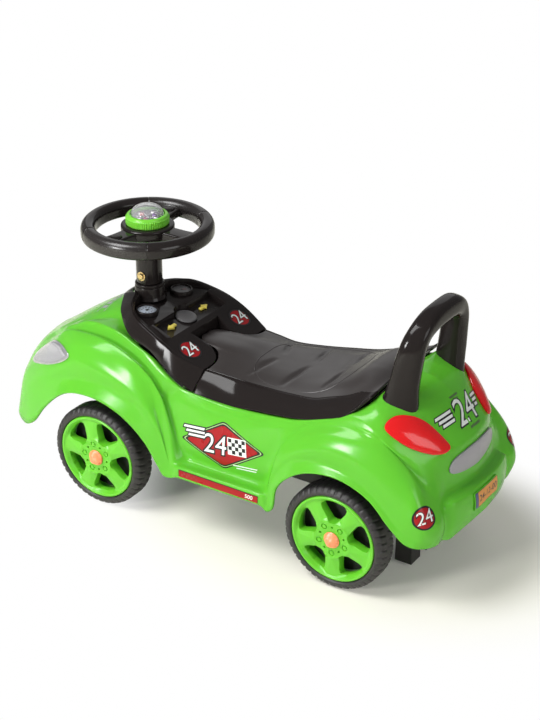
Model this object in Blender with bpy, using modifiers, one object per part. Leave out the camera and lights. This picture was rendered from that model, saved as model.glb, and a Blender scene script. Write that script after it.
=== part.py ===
"""Ride-on push car for a small child: moulded body, dash, lifting seat lid, rear handle,
steering column with its own front axle, and four wheels. Units below are millimetres unless a
name says otherwise; +Z is up, the front of the car is -Y and the car's left side is +X."""

import math

import bmesh
import bpy
from mathutils import Matrix, Vector
from mathutils.bvhtree import BVHTree

MM = 0.001
# Added to every y, so that the bounding box is centred on the origin.
CENTRE_Y = -1.3
OBJECT_NAME = "push_car"

# Driving dimensions
WHEEL_RADIUS = 65.0
TYRE_WIDTH = 32.0
RIM_RADIUS = 54.0
TRACK_HALF = 98.0
AXLE_HEIGHT = WHEEL_RADIUS
FRONT_AXLE_Y = -154.5
REAR_AXLE_Y = 181.5
AXLE_RADIUS = 4.0
HUB_BORE = 4.3
AXLE_HALF = 117.5
WALL = 3.0
GAP = 0.35
STEERING_Y = -150.0
STEERING_WHEEL_Z = 330.0
STEERING_WHEEL_RADIUS = 71.5
GRIP_HALF_WIDTH = 9.0
GRIP_HALF_HEIGHT = 10.0
ROD_RADIUS = 5.0
ROD_BORE = 5.4
DOME_RADIUS = 19.8
DOME_TOP_Z = 360.0
DOME_WALL = 2.0
DOME_FOOT_Z = 344.0
RING_TOP_Z = 348.0
BOLT_Z = 271.5
BOLT_BORE = 2.4
BUTTON_RADIUS = 8.0
BUTTON_REACH = 53.0
BUTTON_FOOT_Z = 330.0
SPOKE_ANGLES = (-9, 90, 189)
SPOKE_LOW = (26, -11, 324)
SPOKE_HIGH = (69, 11, 333)
SPOKE_FLARE = 1.25
HUB_CAVITY_RADIUS = 24.6
HUB_CAVITY_Z = 323.6
HUB_TOP_Z = 336.0
SLEEVE_RADIUS = 16.0
SLEEVE_FOOT_Z = 260.6
MODULE_RADIUS = 23.6
MODULE_Z = (324.0, 335.4)
RING_FOOT_Z = 336.4
CAP_RADIUS = 10.1
SEAT_HINGE_Y = 211.6
SEAT_HINGE_Z = 243.6
HINGE_PIN_RADIUS = 1.1
HINGE_PIN_HALF = 46.0

# Half of the body, front centre to rear centre. Each column runs from the lower lip up the side,
# over the shoulder and across to the inner edge: lip, flare crease, lower side, shoulder, crest,
# foot of the step, hood or deck edge, two deck points and the inner edge under dash and seat.
# A column with one deck point gets the two before it from DECK_BULGE.
DECK_BULGE = 2.0
BODY_COLUMNS = (
    ((0, -317, 90), (0, -314, 112), (0, -314, 128), (0, -311, 145), (0, -300, 160), (0, -286, 171),
     (0, -270, 181), (0, -238, 203), (0, -204, 223), (0, -168, 239)),
    ((50, -312, 84), (50, -310, 111), (50, -307, 127), (48, -300, 145), (42, -287, 163), (38, -275, 173),
     (34, -265, 183), (27, -233, 204.5), (20, -201, 223.5), (14, -167, 238.5)),
    ((88, -299, 76), (84, -294, 112), (82, -290, 128), (73, -279, 150), (60, -265, 172), (54, -256, 180),
     (50, -254, 189), (41, -224, 208), (32, -195, 224), (24, -165, 237.5)),
    ((102, -277, 71), (96, -275, 120), (94, -268, 138), (84, -257, 163), (70, -243, 188), (64, -240, 191),
     (57, -243, 194), (49, -215, 211), (41, -189, 224.5), (33, -162, 235.5)),
    ((109.5, -257, 82), (103, -250, 137), (101, -243, 155), (90, -235, 180), (75, -228, 202), (70, -226, 200),
     (60, -234, 200.5), (40, -159, 233)),
    ((114, -234, 111), (108, -222, 152), (107, -216, 170), (95, -214, 193), (79, -213, 210.5),
     (73, -212, 204), (63, -222, 207), (46, -154, 229)),
    ((119, -198, 143), (111.5, -186, 164), (111, -186, 182), (101, -190, 203), (84, -190, 216),
     (78, -191, 207), (69, -196, 221), (53, -147, 225)),
    ((121, -158, 152), (113, -152, 169), (112.5, -158, 186), (103, -163, 206), (88, -163, 218.5),
     (82, -165, 209), (74, -168, 226), (62, -137, 220)),
    ((121, -112, 142), (113, -104, 161), (112.5, -113, 177), (104, -130, 200), (92, -136, 216.5),
     (86, -137, 206), (78, -140, 225), (68, -120, 211)),
    ((120, -76, 115), (113, -67, 138), (112, -76, 156), (105, -96, 187), (95, -108, 208), (89, -111, 198),
     (82, -113, 217), (73, -100, 204)),
    ((119, -57, 87), (113.5, -49, 106), (112, -56, 128), (105.5, -74, 166), (97, -89, 198), (91, -91, 189),
     (85, -90, 209), (74, -80, 195)),
    ((118, -48, 75), (115, -41, 88), (111.5, -48, 110), (106, -60, 146), (98, -76, 188), (92.5, -77, 179),
     (87, -71, 197), (75, -66, 184)),
    ((117, -36, 76), (115.5, -36, 88), (110, -40, 112), (104, -49, 145), (99.5, -62, 171), (94, -66, 164),
     (88, -58, 189), (75, -54, 176)),
    ((118, -33, 79.5), (118, -33, 94.5), (101.5, -31, 95.5), (99, -42, 118), (94.5, -57, 148),
     (90, -67, 169), (87, -44, 180), (75, -42, 170)),
    ((118, 28, 80), (118, 28, 95.5), (102, 28, 96), (102, 28, 118), (99, 28, 148), (93, 28, 168),
     (87, 28, 176), (84, 28, 176.5), (80, 28, 174), (75, 28, 170)),
    ((118, 91, 81), (118, 91, 96.5), (102, 86, 97), (102, 88, 120), (100, 96, 150), (95.5, 108, 177),
     (92, 112, 188), (88, 113, 188), (84, 113, 186), (77, 113, 182)),
    ((118, 94, 75), (115.5, 95, 90), (112, 97, 113), (106, 104, 149), (101, 119, 176), (96, 121, 184),
     (93, 122, 191), (78, 122, 184)),
    ((118, 103, 80), (114.5, 97, 104), (113, 100, 126), (106, 109, 160), (99, 130, 186), (95, 133, 191),
     (93.5, 134, 195), (78, 134, 187)),
    ((119, 108, 109), (114, 104, 122), (113, 108, 141), (106, 120, 169), (97.5, 145, 193), (94.5, 147, 197),
     (93.5, 148, 200), (79, 148, 192)),
    ((120, 133, 136), (114, 126, 149), (114, 133, 163), (107, 146, 184), (97, 163, 199), (95, 165, 203),
     (94, 166, 206), (90, 166, 206), (87, 166, 204), (80, 166, 200)),
    ((120, 181.5, 150.5), (114.5, 180, 160), (115, 183, 175), (108, 187, 193), (97.5, 193, 204),
     (96.5, 193, 207), (95, 192, 211), (91, 190, 217), (86, 189, 218), (79, 187, 216)),
    ((119, 230.5, 135), (116, 235, 141), (116, 237, 158), (109, 236, 181), (100, 229, 200), (99, 229, 203),
     (98, 228, 205.5), (95, 221, 213), (88, 211, 223), (76, 204, 229)),
    ((119.2, 257, 109.4), (115.2, 263.5, 113.4), (115.2, 267.5, 131.4), (108.2, 266.5, 159.4),
     (95.7, 258.5, 180.5), (93, 252, 184), (97, 246, 193), (91, 236, 210), (84, 223, 226), (69, 209, 235)),
    ((116, 274.9, 92.6), (113, 279.9, 102.6), (114, 284.9, 119.6), (108, 284.9, 141.6),
     (95.7, 278.4, 159.3), (87.5, 269, 165.9), (91, 257, 187), (84, 246, 207), (76, 231, 228),
     (59, 213, 239)),
    ((109, 289.8, 88.5), (107, 292.8, 95.5), (107, 297.8, 108.5), (102.2, 297.3, 125), (92, 291.9, 136.6),
     (81, 284.9, 146.8), (83, 267, 183.5), (76, 254, 205), (67, 238, 229), (50, 214, 241)),
    ((93, 299.8, 86.5), (92, 302.8, 93.5), (92, 305.8, 103.5), (89.2, 305.3, 117), (82, 298.9, 126.6),
     (73, 291.9, 136.8), (74, 275, 182), (67, 261, 203.5), (57, 244, 230), (40, 214.2, 242)),
    ((72, 299.9, 83.6), (72, 302.9, 91.6), (72, 303.9, 101.6), (72.5, 302.9, 113.6), (71.5, 298.9, 123.7),
     (64.2, 293.5, 133.4), (66, 281, 182), (58, 267, 202.5), (46, 249, 231), (31, 214.2, 243)),
    ((64.7, 303.4, 81.3), (64.7, 306.4, 91.3), (64.7, 308.4, 102.3), (64.7, 308.4, 120.3),
     (64, 302.9, 130.8), (57.5, 293, 134.9), (58, 286, 182.5), (49, 272, 202), (37, 251, 232),
     (24, 214.2, 243.4)),
    ((34, 311, 89), (34, 313.5, 98), (34, 315.5, 108), (34, 315, 122), (34, 309, 131), (32, 298, 136),
     (31, 295, 184), (26, 280, 201.5), (19, 255, 232), (12, 214.2, 243.7)),
    ((0, 316, 94), (0, 316, 102), (0, 316, 112), (0, 316, 126), (0, 311, 132), (0, 301, 137), (0, 299, 185),
     (0, 283, 202), (0, 256, 234), (0, 214.2, 243.8)),
)
CREASE_ROWS = (1, 4, 5, 6)
CREASE_COLUMNS = (12, 13, 15, 16, 26, 27)
ROW_STEPS = (1, 2, 2, 2, 1, 1, 2, 2, 1)
COLUMN_STEPS = (2, 2, 1, 2, 1, 2, 2, 2, 2, 1, 1, 1, 1, 2, 2, 1, 1, 1, 1, 2, 2, 2, 1, 1, 1, 1, 1, 2, 2)

# Half of the seat lid, front to rear, each row from the centre line out to the lower edge.
SEAT_ROWS = (
    ((0, -49.5, 221), (14, -48.5, 220), (21, -44, 216), (27.5, -33, 208.5), (40, -22, 204), (56, -21.5, 201.5),
     (65, -23, 201.5), (75, -25.8, 190), (82, -28, 177.5)),
    ((0, -14, 213.5), (14, -14, 213), (21, -13, 211.5), (28, -12, 209), (40, -8, 205.5), (56, -4, 201.5),
     (64, -2, 200), (74, -3, 189), (81, -5, 177.8)),
    ((0, 24, 209.5), (14, 24, 209.4), (21, 24, 209), (28, 24, 208), (40, 24, 205), (54, 24, 200.5),
     (62.5, 24, 198.5), (73, 24, 190), (81, 24, 180)),
    ((0, 62, 209.5), (14, 62, 209.5), (21, 62, 209.3), (28, 62, 209), (41, 62, 207.3), (56, 62, 203.5),
     (66.5, 61, 201.5), (77, 60, 194), (84, 58, 185.8)),
    ((0, 100, 213), (14, 100, 213), (21, 100, 212.8), (28, 100, 212.4), (42, 100, 211), (59, 99, 208),
     (71.5, 98, 206.5), (81, 96, 200), (88, 94, 192)),
    ((0, 130, 220), (14, 130, 219.8), (21, 130, 219.5), (28, 130, 219), (42, 130, 218), (58, 130, 214.5),
     (75, 129, 211.5), (84, 128, 206), (90, 127, 198)),
    ((0, 157, 234), (14, 156.5, 233.6), (21, 156, 233), (28, 155, 231.5), (42, 151, 227), (58, 150, 221.5),
     (74, 150, 218.5), (84, 150, 213), (90, 150, 204.5)),
    ((0, 176, 246.5), (14, 176, 246.2), (21, 176, 245.5), (28, 175.5, 244.5), (42, 175, 240), (58, 173, 231.5),
     (73, 172, 226), (83, 171, 219.5), (89.5, 170, 210.5)),
    ((0, 193, 248.5), (14, 193, 248.3), (21, 193, 248), (28, 193, 247.5), (42, 192, 245), (57, 191, 240),
     (70, 190, 234.5), (80, 189, 228.5), (87, 188, 222.5)),
    ((0, 209.4, 244.8), (14, 209.4, 244.8), (21, 209.4, 244.7), (28, 209.4, 244.6), (40, 209.2, 244.4),
     (50, 209, 244), (60, 208.5, 243), (70, 207.5, 241.5), (79, 206, 239.8)),
)
SEAT_ROW_STEPS = (1, 1, 1, 1, 1, 1, 1, 2)
SEAT_COLUMN_STEPS = (2, 2, 2, 2, 1, 1, 2, 2, 2)


def sloped(y_start, z_start, y_end, z_end):
    return lambda y: z_start + (z_end - z_start) * (y - y_start) / (y_end - y_start)


# Half outline of the dash moulding, front to rear: rim point and the base point below it.
DASH_STATIONS = (
    ((20, -157.5, 250.6), (20, -174, 244.4)),
    ((42, -147, 248), (46, -160, 239)),
    ((53, -138, 246), (59, -148, 233)),
    ((61, -130, 244), (69, -136, 228)),
    ((68, -116, 239.5), (76, -122, 222)),
    ((74, -92, 231.5), (81, -91.5, 214.5)),
    ((76, -72, 223), (83, -72, 201)),
    ((75, -52, 213), (83.5, -50, 189)),
    ((66, -24.5, 202), (83, -29.5, 178)),
)
DASH_NOSE = 2.5
DASH_RECESS = ((15, -151), (39, -143.5), (50.5, -135.5), (57, -126), (61.5, -113.5), (65, -103.5))
DASH_TRAY = ((57, -103.6), (57, -77))
SEAT_SLOT = ((28.5, -70), (23.5, -47), (29.5, -34), (36.5, -25.6), (36.5, -15))
DASH_HOLLOW = ((15, -152), (55, -141), (70, -118), (76.5, -90), (78.5, -70), (79, -50), (77, -10))
# Floor heights of the dash's hollows from y, and the open air above them.
UNDER_DASH = sloped(-160, 230, -27, 188)
BELOW_DASH = sloped(-160, 120, 0, 120)
RECESS_FLOOR = sloped(-150, 237.5, -103.5, 234.5)
TRAY_FLOOR = sloped(-103.5, 225.5, -77, 220.5)
SLOT_FLOOR = sloped(-70, 205, -24, 195.5)
SKY_Z = 300
SKY = sloped(-160, SKY_Z, 0, SKY_Z)
SPEAKER_CENTRE = (0, -96.5)
SPEAKER_RADIUS = 13.5
SPEAKER_FLOOR_Z = 225.2
SPEAKER_TILT = -10.7
GAUGE_CENTRE = (35.5, -128.5)
GAUGE_RADIUS = 13.5
GAUGE_Z = 236.7
GAUGE_TILT = -3.7
ARROW = ((41, -94), (33, -98.3), (33, -95.9), (25.5, -95.9), (25.5, -92.1), (33, -92.1), (33, -89.7))
ARROW_LIFT = 0.4
ARROW_THICKNESS = 2.3
COLLAR_SEAT_RADIUS = 21.4
COLLAR_SEAT_Z = 239.6
COLLAR_PROFILE = ((17.5, 260.2), (18, 259.6), (18, 253), (19.6, 251), (20, 246), (21, 244.5), (21, 240))


def mm(*point):
    return Vector(point) * MM


def clear_scene():
    for obj in list(bpy.data.objects):
        bpy.data.objects.remove(obj)


def make_collection(name):
    collection = bpy.data.collections.new(name)
    bpy.context.scene.collection.children.link(collection)
    return collection


def material(name, colour, roughness, metallic=0.0):
    made = bpy.data.materials.new(name)
    made.use_nodes = True
    shader = made.node_tree.nodes["Principled BSDF"]
    shader.inputs["Base Color"].default_value = (*colour, 1.0)
    shader.inputs["Roughness"].default_value = roughness
    shader.inputs["Metallic"].default_value = metallic
    made.diffuse_color = (*colour, 1.0)
    return made


GREEN = (0.155, 0.56, 0.05)
PLATE_ORANGE = (0.75, 0.33, 0.06)
BLACK = (0.022, 0.020, 0.020)
SATIN_BLACK = (0.03, 0.028, 0.028)
TYRE_BLACK = (0.02, 0.02, 0.02)
ORANGE = (1.0, 0.27, 0.10)
RED = (0.66, 0.012, 0.016)
GREY = (0.30, 0.30, 0.34)
YELLOW = (0.85, 0.62, 0.05)
WHITE = (0.8, 0.8, 0.8)
CLEAR = (0.75, 0.77, 0.8)
STEEL = (0.55, 0.55, 0.56)
CHROME = (0.8, 0.8, 0.82)

clear_scene()
PARTS = make_collection(OBJECT_NAME)
CUTTERS = make_collection("cutters")
CUTTERS.hide_render = True


def place(name, data, location=(0, 0, 0), turn=(0, 0, 0)):
    obj = bpy.data.objects.new(name, data)
    obj.location = mm(*location) + mm(0, CENTRE_Y, 0)
    obj.rotation_euler = [math.radians(angle) for angle in turn]
    PARTS.objects.link(obj)
    return obj


def finish_mesh(name, bm, location=(0, 0, 0), turn=(0, 0, 0), smooth_below=35.0):
    """The bmesh, drawn in millimetres, as an object in metres."""
    bm.transform(Matrix.Scale(MM, 4))
    mesh = bpy.data.meshes.new(name)
    bm.to_mesh(mesh)
    bm.free()
    mesh.shade_smooth()
    mesh.set_sharp_from_angle(angle=math.radians(smooth_below))
    return place(name, mesh, location, turn)


def paint(obj, name, colour, roughness, metallic=0.0):
    obj.data.materials.append(material(name, colour, roughness, metallic))
    return obj


def as_cutter(obj):
    PARTS.objects.unlink(obj)
    CUTTERS.objects.link(obj)
    obj.hide_render = True
    obj.display_type = "WIRE"
    return obj


def boolean(obj, other, operation):
    modifier = obj.modifiers.new(other.name, "BOOLEAN")
    modifier.operation = operation
    modifier.object = other
    modifier.solver = "EXACT"
    as_cutter(other)


def cut(obj, *others):
    for other in others:
        boolean(obj, other, "DIFFERENCE")


def join(obj, *others):
    for other in others:
        boolean(obj, other, "UNION")


def bevel(obj, width, segments=1, angle=40.0):
    modifier = obj.modifiers.new("Edges", "BEVEL")
    modifier.width = width * MM
    modifier.segments = segments
    modifier.limit_method = "ANGLE"
    modifier.angle_limit = math.radians(angle)


def solidify(obj, thickness):
    modifier = obj.modifiers.new("Wall", "SOLIDIFY")
    modifier.thickness = thickness * MM
    modifier.offset = -1.0
    modifier.use_even_offset = False


def mirror_half(obj):
    modifier = obj.modifiers.new("Other half", "MIRROR")
    modifier.use_axis = (True, False, False)
    modifier.merge_threshold = 0.0001
    modifier.use_clip = True


def box(name, low, high):
    bm = bmesh.new()
    bmesh.ops.create_cube(bm, size=1.0)
    for vert in bm.verts:
        for axis in range(3):
            vert.co[axis] = (low[axis] + high[axis]) / 2 + vert.co[axis] * (high[axis] - low[axis])
    return finish_mesh(name, bm)


def cylinder(name, radius, low, high, sides=24, location=(0, 0, 0), turn=(0, 0, 0), top_radius=None):
    bm = bmesh.new()
    bmesh.ops.create_cone(
        bm, cap_ends=True, segments=sides, radius1=radius,
        radius2=radius if top_radius is None else top_radius, depth=high - low)
    bmesh.ops.translate(bm, verts=bm.verts, vec=(0, 0, (low + high) / 2))
    return finish_mesh(name, bm, location, turn)


def turned(name, profile, steps=32, location=(0, 0, 0), turn=(0, 0, 0), ring=False):
    """A profile of (radius, height) points turned about Z, from the top down its outer side."""
    bm = bmesh.new()
    verts = [bm.verts.new((radius, 0, height)) for radius, height in profile]
    pairs = list(zip(verts, verts[1:]))
    if ring:
        pairs.append((verts[-1], verts[0]))
    for pair in pairs:
        bm.edges.new(pair)
    obj = finish_mesh(name, bm, location, turn)
    screw = obj.modifiers.new("Turn", "SCREW")
    screw.axis = "Z"
    screw.angle = math.tau
    screw.steps = screw.render_steps = steps
    screw.use_merge_vertices = True
    screw.merge_threshold = 0.00001
    screw.use_smooth_shade = True
    return obj


def mirrored_outline(half):
    return [*half, *((-x, y) for x, y in reversed(half))]


def prism(name, outline, floor, ceiling):
    """An upright prism over an outline; floor and ceiling give its heights from y."""
    bm = bmesh.new()
    face = bm.faces.new([bm.verts.new((x, y, 0)) for x, y in outline])
    face.normal_update()
    grown = bmesh.ops.extrude_face_region(bm, geom=[face])["geom"]
    upper = {item for item in grown if isinstance(item, bmesh.types.BMVert)}
    for vert in bm.verts:
        vert.co.z = ceiling(vert.co.y) if vert in upper else floor(vert.co.y)
    bmesh.ops.recalc_face_normals(bm, faces=bm.faces)
    return finish_mesh(name, bm)


def mean_knots(lines):
    """The parameter of each cage point along a set of lines: their mean length so far."""
    knots = [0.0]
    for i in range(len(lines[0]) - 1):
        step = sum((line[i + 1] - line[i]).length for line in lines) / len(lines)
        knots.append(knots[-1] + step)
    return knots


def end_slopes(points, knots, creases):
    """The slope into and out of each point of a smooth curve that breaks at its creases."""
    last = len(points) - 1
    stops = sorted({0, last, *creases})
    before = [None] * len(points)
    after = [None] * len(points)
    for first, end in zip(stops, stops[1:]):
        chords = {i: (points[i + 1] - points[i]) / (knots[i + 1] - knots[i]) for i in range(first, end)}
        for i in range(first + 1, end):
            left = knots[i] - knots[i - 1]
            right = knots[i + 1] - knots[i]
            before[i] = after[i] = (chords[i - 1] * right + chords[i] * left) / (left + right)
        if end - first == 1:
            after[first] = before[end] = chords[first]
        else:
            after[first] = (3 * chords[first] - before[first + 1]) / 2
            before[end] = (3 * chords[end - 1] - after[end - 1]) / 2
    return before, after


def curve_points(points, knots, creases, places):
    """Points of the curve at places given as a point number and a part of the way to the next."""
    before, after = end_slopes(points, knots, creases)
    found = []
    for spot in places:
        i = min(int(spot), len(points) - 2)
        t = spot - i
        span = knots[i + 1] - knots[i]
        found.append(
            points[i] * (2 * t**3 - 3 * t**2 + 1) + after[i] * (span * (t**3 - 2 * t**2 + t))
            + points[i + 1] * (3 * t**2 - 2 * t**3) + before[i + 1] * (span * (t**3 - t**2)))
    return found


def places_along(steps):
    places = [i + k / count for i, count in enumerate(steps) for k in range(count)]
    return [*places, float(len(steps))]


def cage_grid(columns, column_steps, row_steps, column_creases=(), row_creases=()):
    """Points of the smooth surface through a cage, one list for each fine column."""
    lines = list(zip(*columns))
    knots = mean_knots(lines)
    along = [curve_points(line, knots, column_creases, places_along(column_steps)) for line in lines]
    fine_columns = list(zip(*along))
    row_knots = mean_knots(columns)
    return [curve_points(column, row_knots, row_creases, places_along(row_steps)) for column in fine_columns]


def grid_surface(points):
    """A grid primitive with its vertices moved onto the points."""
    bm = bmesh.new()
    wide = len(points) - 1
    deep = len(points[0]) - 1
    bmesh.ops.create_grid(bm, x_segments=wide, y_segments=deep, size=0.5)
    for vert in bm.verts:
        vert.co = points[round((vert.co.x + 0.5) * wide)][round((vert.co.y + 0.5) * deep)]
    return bm


def body_cage():
    columns = []
    for column in BODY_COLUMNS:
        points = [Vector(point) for point in column]
        if len(points) == 8:
            edge, inner = points[-2:]
            lift = Vector((0, 0, DECK_BULGE))
            points[-1:] = [edge.lerp(inner, 1 / 3) + lift, edge.lerp(inner, 2 / 3) + lift, inner]
        columns.append(points)
    return columns


def body_surface(column_steps, row_steps):
    return grid_surface(cage_grid(body_cage(), column_steps, row_steps, CREASE_COLUMNS, CREASE_ROWS))


def body_tree():
    """Both halves of the body's outer surface, for setting lamps and feet on it."""
    bm = body_surface(COLUMN_STEPS, ROW_STEPS)
    other = bmesh.ops.duplicate(bm, geom=bm.faces[:])["geom"]
    flipped = [item for item in other if isinstance(item, bmesh.types.BMVert)]
    for vert in flipped:
        vert.co.x = -vert.co.x
    bmesh.ops.reverse_faces(bm, faces=[item for item in other if isinstance(item, bmesh.types.BMFace)])
    tree = BVHTree.FromBMesh(bm)
    bm.free()
    return tree


BODY = body_tree()


def on_body(point, lift):
    spot, normal, _, _ = BODY.find_nearest(point)
    return spot + normal * lift


def deck_height(x, y):
    spot = BODY.ray_cast(Vector((x, y, 400)), Vector((0, 0, -1)))[0]
    return spot.z


def loft(loops, start_cap=True, end_cap=True):
    """A skin through closed loops of as many points each, by extruding one ring of edges."""
    bm = bmesh.new()
    ring = bmesh.ops.create_circle(bm, segments=len(loops[0]), radius=1.0)["verts"]
    for vert, point in zip(ring, loops[0]):
        vert.co = point
    edges = [bm.edges.get((a, b)) for a, b in zip(ring, [*ring[1:], ring[0]])]
    if start_cap:
        bmesh.ops.contextual_create(bm, geom=edges)
    for loop in loops[1:]:
        grown = bmesh.ops.extrude_edge_only(bm, edges=edges)["geom"]
        fresh = {item for item in grown if isinstance(item, bmesh.types.BMVert)}
        ring = [next(edge.other_vert(vert) for edge in vert.link_edges if edge.other_vert(vert) in fresh)
                for vert in ring]
        for vert, point in zip(ring, loop):
            vert.co = point
        edges = [bm.edges.get((a, b)) for a, b in zip(ring, [*ring[1:], ring[0]])]
    if end_cap:
        bmesh.ops.contextual_create(bm, geom=edges)
    bmesh.ops.recalc_face_normals(bm, faces=bm.faces)
    return bm


def closed_curve(points, count):
    """Evenly numbered points on a smooth closed curve through a few given ones."""
    size = len(points)
    found = []
    for k in range(count):
        spot = k * size / count
        i = int(spot)
        t = spot - i
        a, b, c, d = (points[(i + step) % size] for step in (-1, 0, 1, 2))
        found.append(
            0.5 * (2 * b + (c - a) * t + (2 * a - 5 * b + 4 * c - d) * t**2 + (3 * b - a - 3 * c + d) * t**3))
    return found


def body_patch(name, edge, lift, crown, thickness, rings=(1.0, 0.66, 0.33)):
    """A shell that lies on the body inside an edge, and rises by its crown at the middle."""
    middle = sum(edge, Vector()) / len(edge)
    loops = []
    for level, sunk in ((0.0, 0.0), (thickness, crown)):
        stack = []
        for part in rings:
            height = lift + level + sunk * (1 - part**2)
            stack.append([on_body(middle.lerp(point, part), height) for point in edge])
        loops.append(stack)
    under, over = loops
    bm = loft([*reversed(under), *over])
    bmesh.ops.triangulate(bm, faces=[face for face in bm.faces if len(face.verts) > 4])
    return finish_mesh(name, bm)


def lamp_edge(outline, side=1, count=12):
    return closed_curve([Vector((side * x, y, z)) for x, y, z in outline], count)


def make_body():
    obj = finish_mesh("body_shell", body_surface(COLUMN_STEPS, ROW_STEPS))
    mirror_half(obj)
    solidify(obj, WALL)
    return paint(obj, "green_plastic", GREEN, 0.22)


def make_dash():
    bm = bmesh.new()
    across = 4
    deep = len(DASH_STATIONS) - 1
    bmesh.ops.create_grid(bm, x_segments=across, y_segments=deep, size=0.5)
    station = {vert: (2 * round(vert.co.x * across) / across, round((vert.co.y + 0.5) * deep))
               for vert in bm.verts}
    lower = bmesh.ops.extrude_face_region(bm, geom=bm.faces[:])["geom"]
    lower_verts = {item for item in lower if isinstance(item, bmesh.types.BMVert)}
    station.update({vert: (2 * round(vert.co.x * across) / across, round((vert.co.y + 0.5) * deep))
                    for vert in lower_verts})
    for vert in bm.verts:
        share, number = station[vert]
        x, y, z = DASH_STATIONS[number][vert in lower_verts]
        nose = DASH_NOSE * (1 - share**2) if number == 0 else 0.0
        vert.co = (share * x, y - nose, z)
    bmesh.ops.recalc_face_normals(bm, faces=bm.faces)
    dash = finish_mesh("dash_console", bm)
    cut(
        dash,
        prism("dash_hollow", mirrored_outline(DASH_HOLLOW), BELOW_DASH, UNDER_DASH),
        prism("dash_recess", mirrored_outline(DASH_RECESS), RECESS_FLOOR, SKY),
        prism("dash_tray", mirrored_outline(DASH_TRAY), TRAY_FLOOR, SKY),
        prism("seat_slot", mirrored_outline(SEAT_SLOT), SLOT_FLOOR, SKY),
        cylinder("speaker_notch", SPEAKER_RADIUS + 1.2, SPEAKER_FLOOR_Z, SKY_Z, 20, (*SPEAKER_CENTRE, 0)),
        cylinder("collar_seat", COLLAR_SEAT_RADIUS, COLLAR_SEAT_Z, SKY_Z, 24, (0, STEERING_Y, 0)),
        cylinder("column_hole", ROD_BORE + 0.6, COLLAR_SEAT_Z - 90, COLLAR_SEAT_Z + 20, 16, (0, STEERING_Y, 0)),
    )
    return paint(dash, "black_gloss_dash", BLACK, 0.2)


def make_dash_trim():
    for side, name in ((1, "left"), (-1, "right")):
        x, y = GAUGE_CENTRE
        gauge = turned(
            "gauge_" + name,
            ((0, 4.0), (11.0, 3.6), (11.6, 5.2), (12.9, 5.2), (GAUGE_RADIUS, 3.6), (GAUGE_RADIUS, 0), (0, 0)),
            18, (side * x, y, GAUGE_Z), (GAUGE_TILT, 0, 0))
        paint(gauge, "gauge_" + name, WHITE if side > 0 else GREY, 0.35)
        arrow = prism(
            "arrow_button_" + name, [(side * px, py) for px, py in ARROW],
            lambda y: TRAY_FLOOR(y) + ARROW_LIFT, lambda y: TRAY_FLOOR(y) + ARROW_LIFT + ARROW_THICKNESS)
        paint(arrow, "yellow_plastic_" + name, YELLOW, 0.3)
    speaker = turned(
        "speaker_disc",
        ((0, 3.2), (9.5, 2.6), (12.0, 2.4), (SPEAKER_RADIUS, 1.0), (SPEAKER_RADIUS, 0), (0, 0)),
        16, (*SPEAKER_CENTRE, SPEAKER_FLOOR_Z + 0.05), (SPEAKER_TILT, 0, 0))
    paint(speaker, "grey_speaker", GREY, 0.4)
    collar = turned(
        "column_collar",
        (*COLLAR_PROFILE, (ROD_BORE, COLLAR_PROFILE[-1][1]), (ROD_BORE, COLLAR_PROFILE[0][1])),
        18, (0, STEERING_Y, 0), ring=True)
    paint(collar, "black_collar", BLACK, 0.3)


KNUCKLE_X = 33.0
KNUCKLE_OUTER = 2.4
KNUCKLE_INNER = 1.5
KNUCKLE_HALF = 8.0
WEB_Y = (203.0, 209.9)
WEB_Z = (241.6, 243.9)
LEAF_HALF = 20.0
LEAF_Y = (SEAT_HINGE_Y - 1.4, SEAT_HINGE_Y + 1.2)
LEAF_Z = (206.0, SEAT_HINGE_Z - 1.8)


def make_knuckle(name, half, x):
    profile = ((KNUCKLE_OUTER, half), (KNUCKLE_OUTER, -half), (KNUCKLE_INNER, -half), (KNUCKLE_INNER, half))
    return turned(name, profile, 12, (x, SEAT_HINGE_Y, SEAT_HINGE_Z), (0, 90, 0), ring=True)


def make_seat():
    rows = [[Vector(point) for point in row] for row in SEAT_ROWS]
    bm = grid_surface(cage_grid(rows, SEAT_COLUMN_STEPS, SEAT_ROW_STEPS))
    bmesh.ops.reverse_faces(bm, faces=bm.faces)
    bmesh.ops.translate(bm, verts=bm.verts, vec=(0, -SEAT_HINGE_Y, -SEAT_HINGE_Z))
    seat = finish_mesh("seat_lid", bm, (0, SEAT_HINGE_Y, SEAT_HINGE_Z))
    mirror_half(seat)
    solidify(seat, WALL)
    for side in (1, -1):
        middle = side * KNUCKLE_X
        knuckle = make_knuckle(f"seat_knuckle_{side}", KNUCKLE_HALF, middle)
        half = KNUCKLE_HALF - 0.4
        web = box(f"seat_web_{side}", (middle - half, WEB_Y[0], WEB_Z[0]), (middle + half, WEB_Y[1], WEB_Z[1]))
        join(seat, web, knuckle)
    return paint(seat, "black_satin_seat", SATIN_BLACK, 0.42)


def make_seat_hinge():
    pin = cylinder("seat_hinge_pin", HINGE_PIN_RADIUS, -HINGE_PIN_HALF, HINGE_PIN_HALF, 12,
                   (0, SEAT_HINGE_Y, SEAT_HINGE_Z), (0, 90, 0))
    paint(pin, "steel_pin", STEEL, 0.3, 1.0)
    leaf = make_knuckle("seat_hinge_leaf", LEAF_HALF, 0)
    join(leaf, box("leaf_plate", (-LEAF_HALF, LEAF_Y[0], LEAF_Z[0]), (LEAF_HALF, LEAF_Y[1], LEAF_Z[1])))
    paint(leaf, "steel_leaf", STEEL, 0.35, 1.0)


TUB_LOW = Vector((-66, -2, 96))
TUB_HIGH = Vector((66, 138, 165))
FLANGE_REACH = Vector((21, 6, 0))


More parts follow.
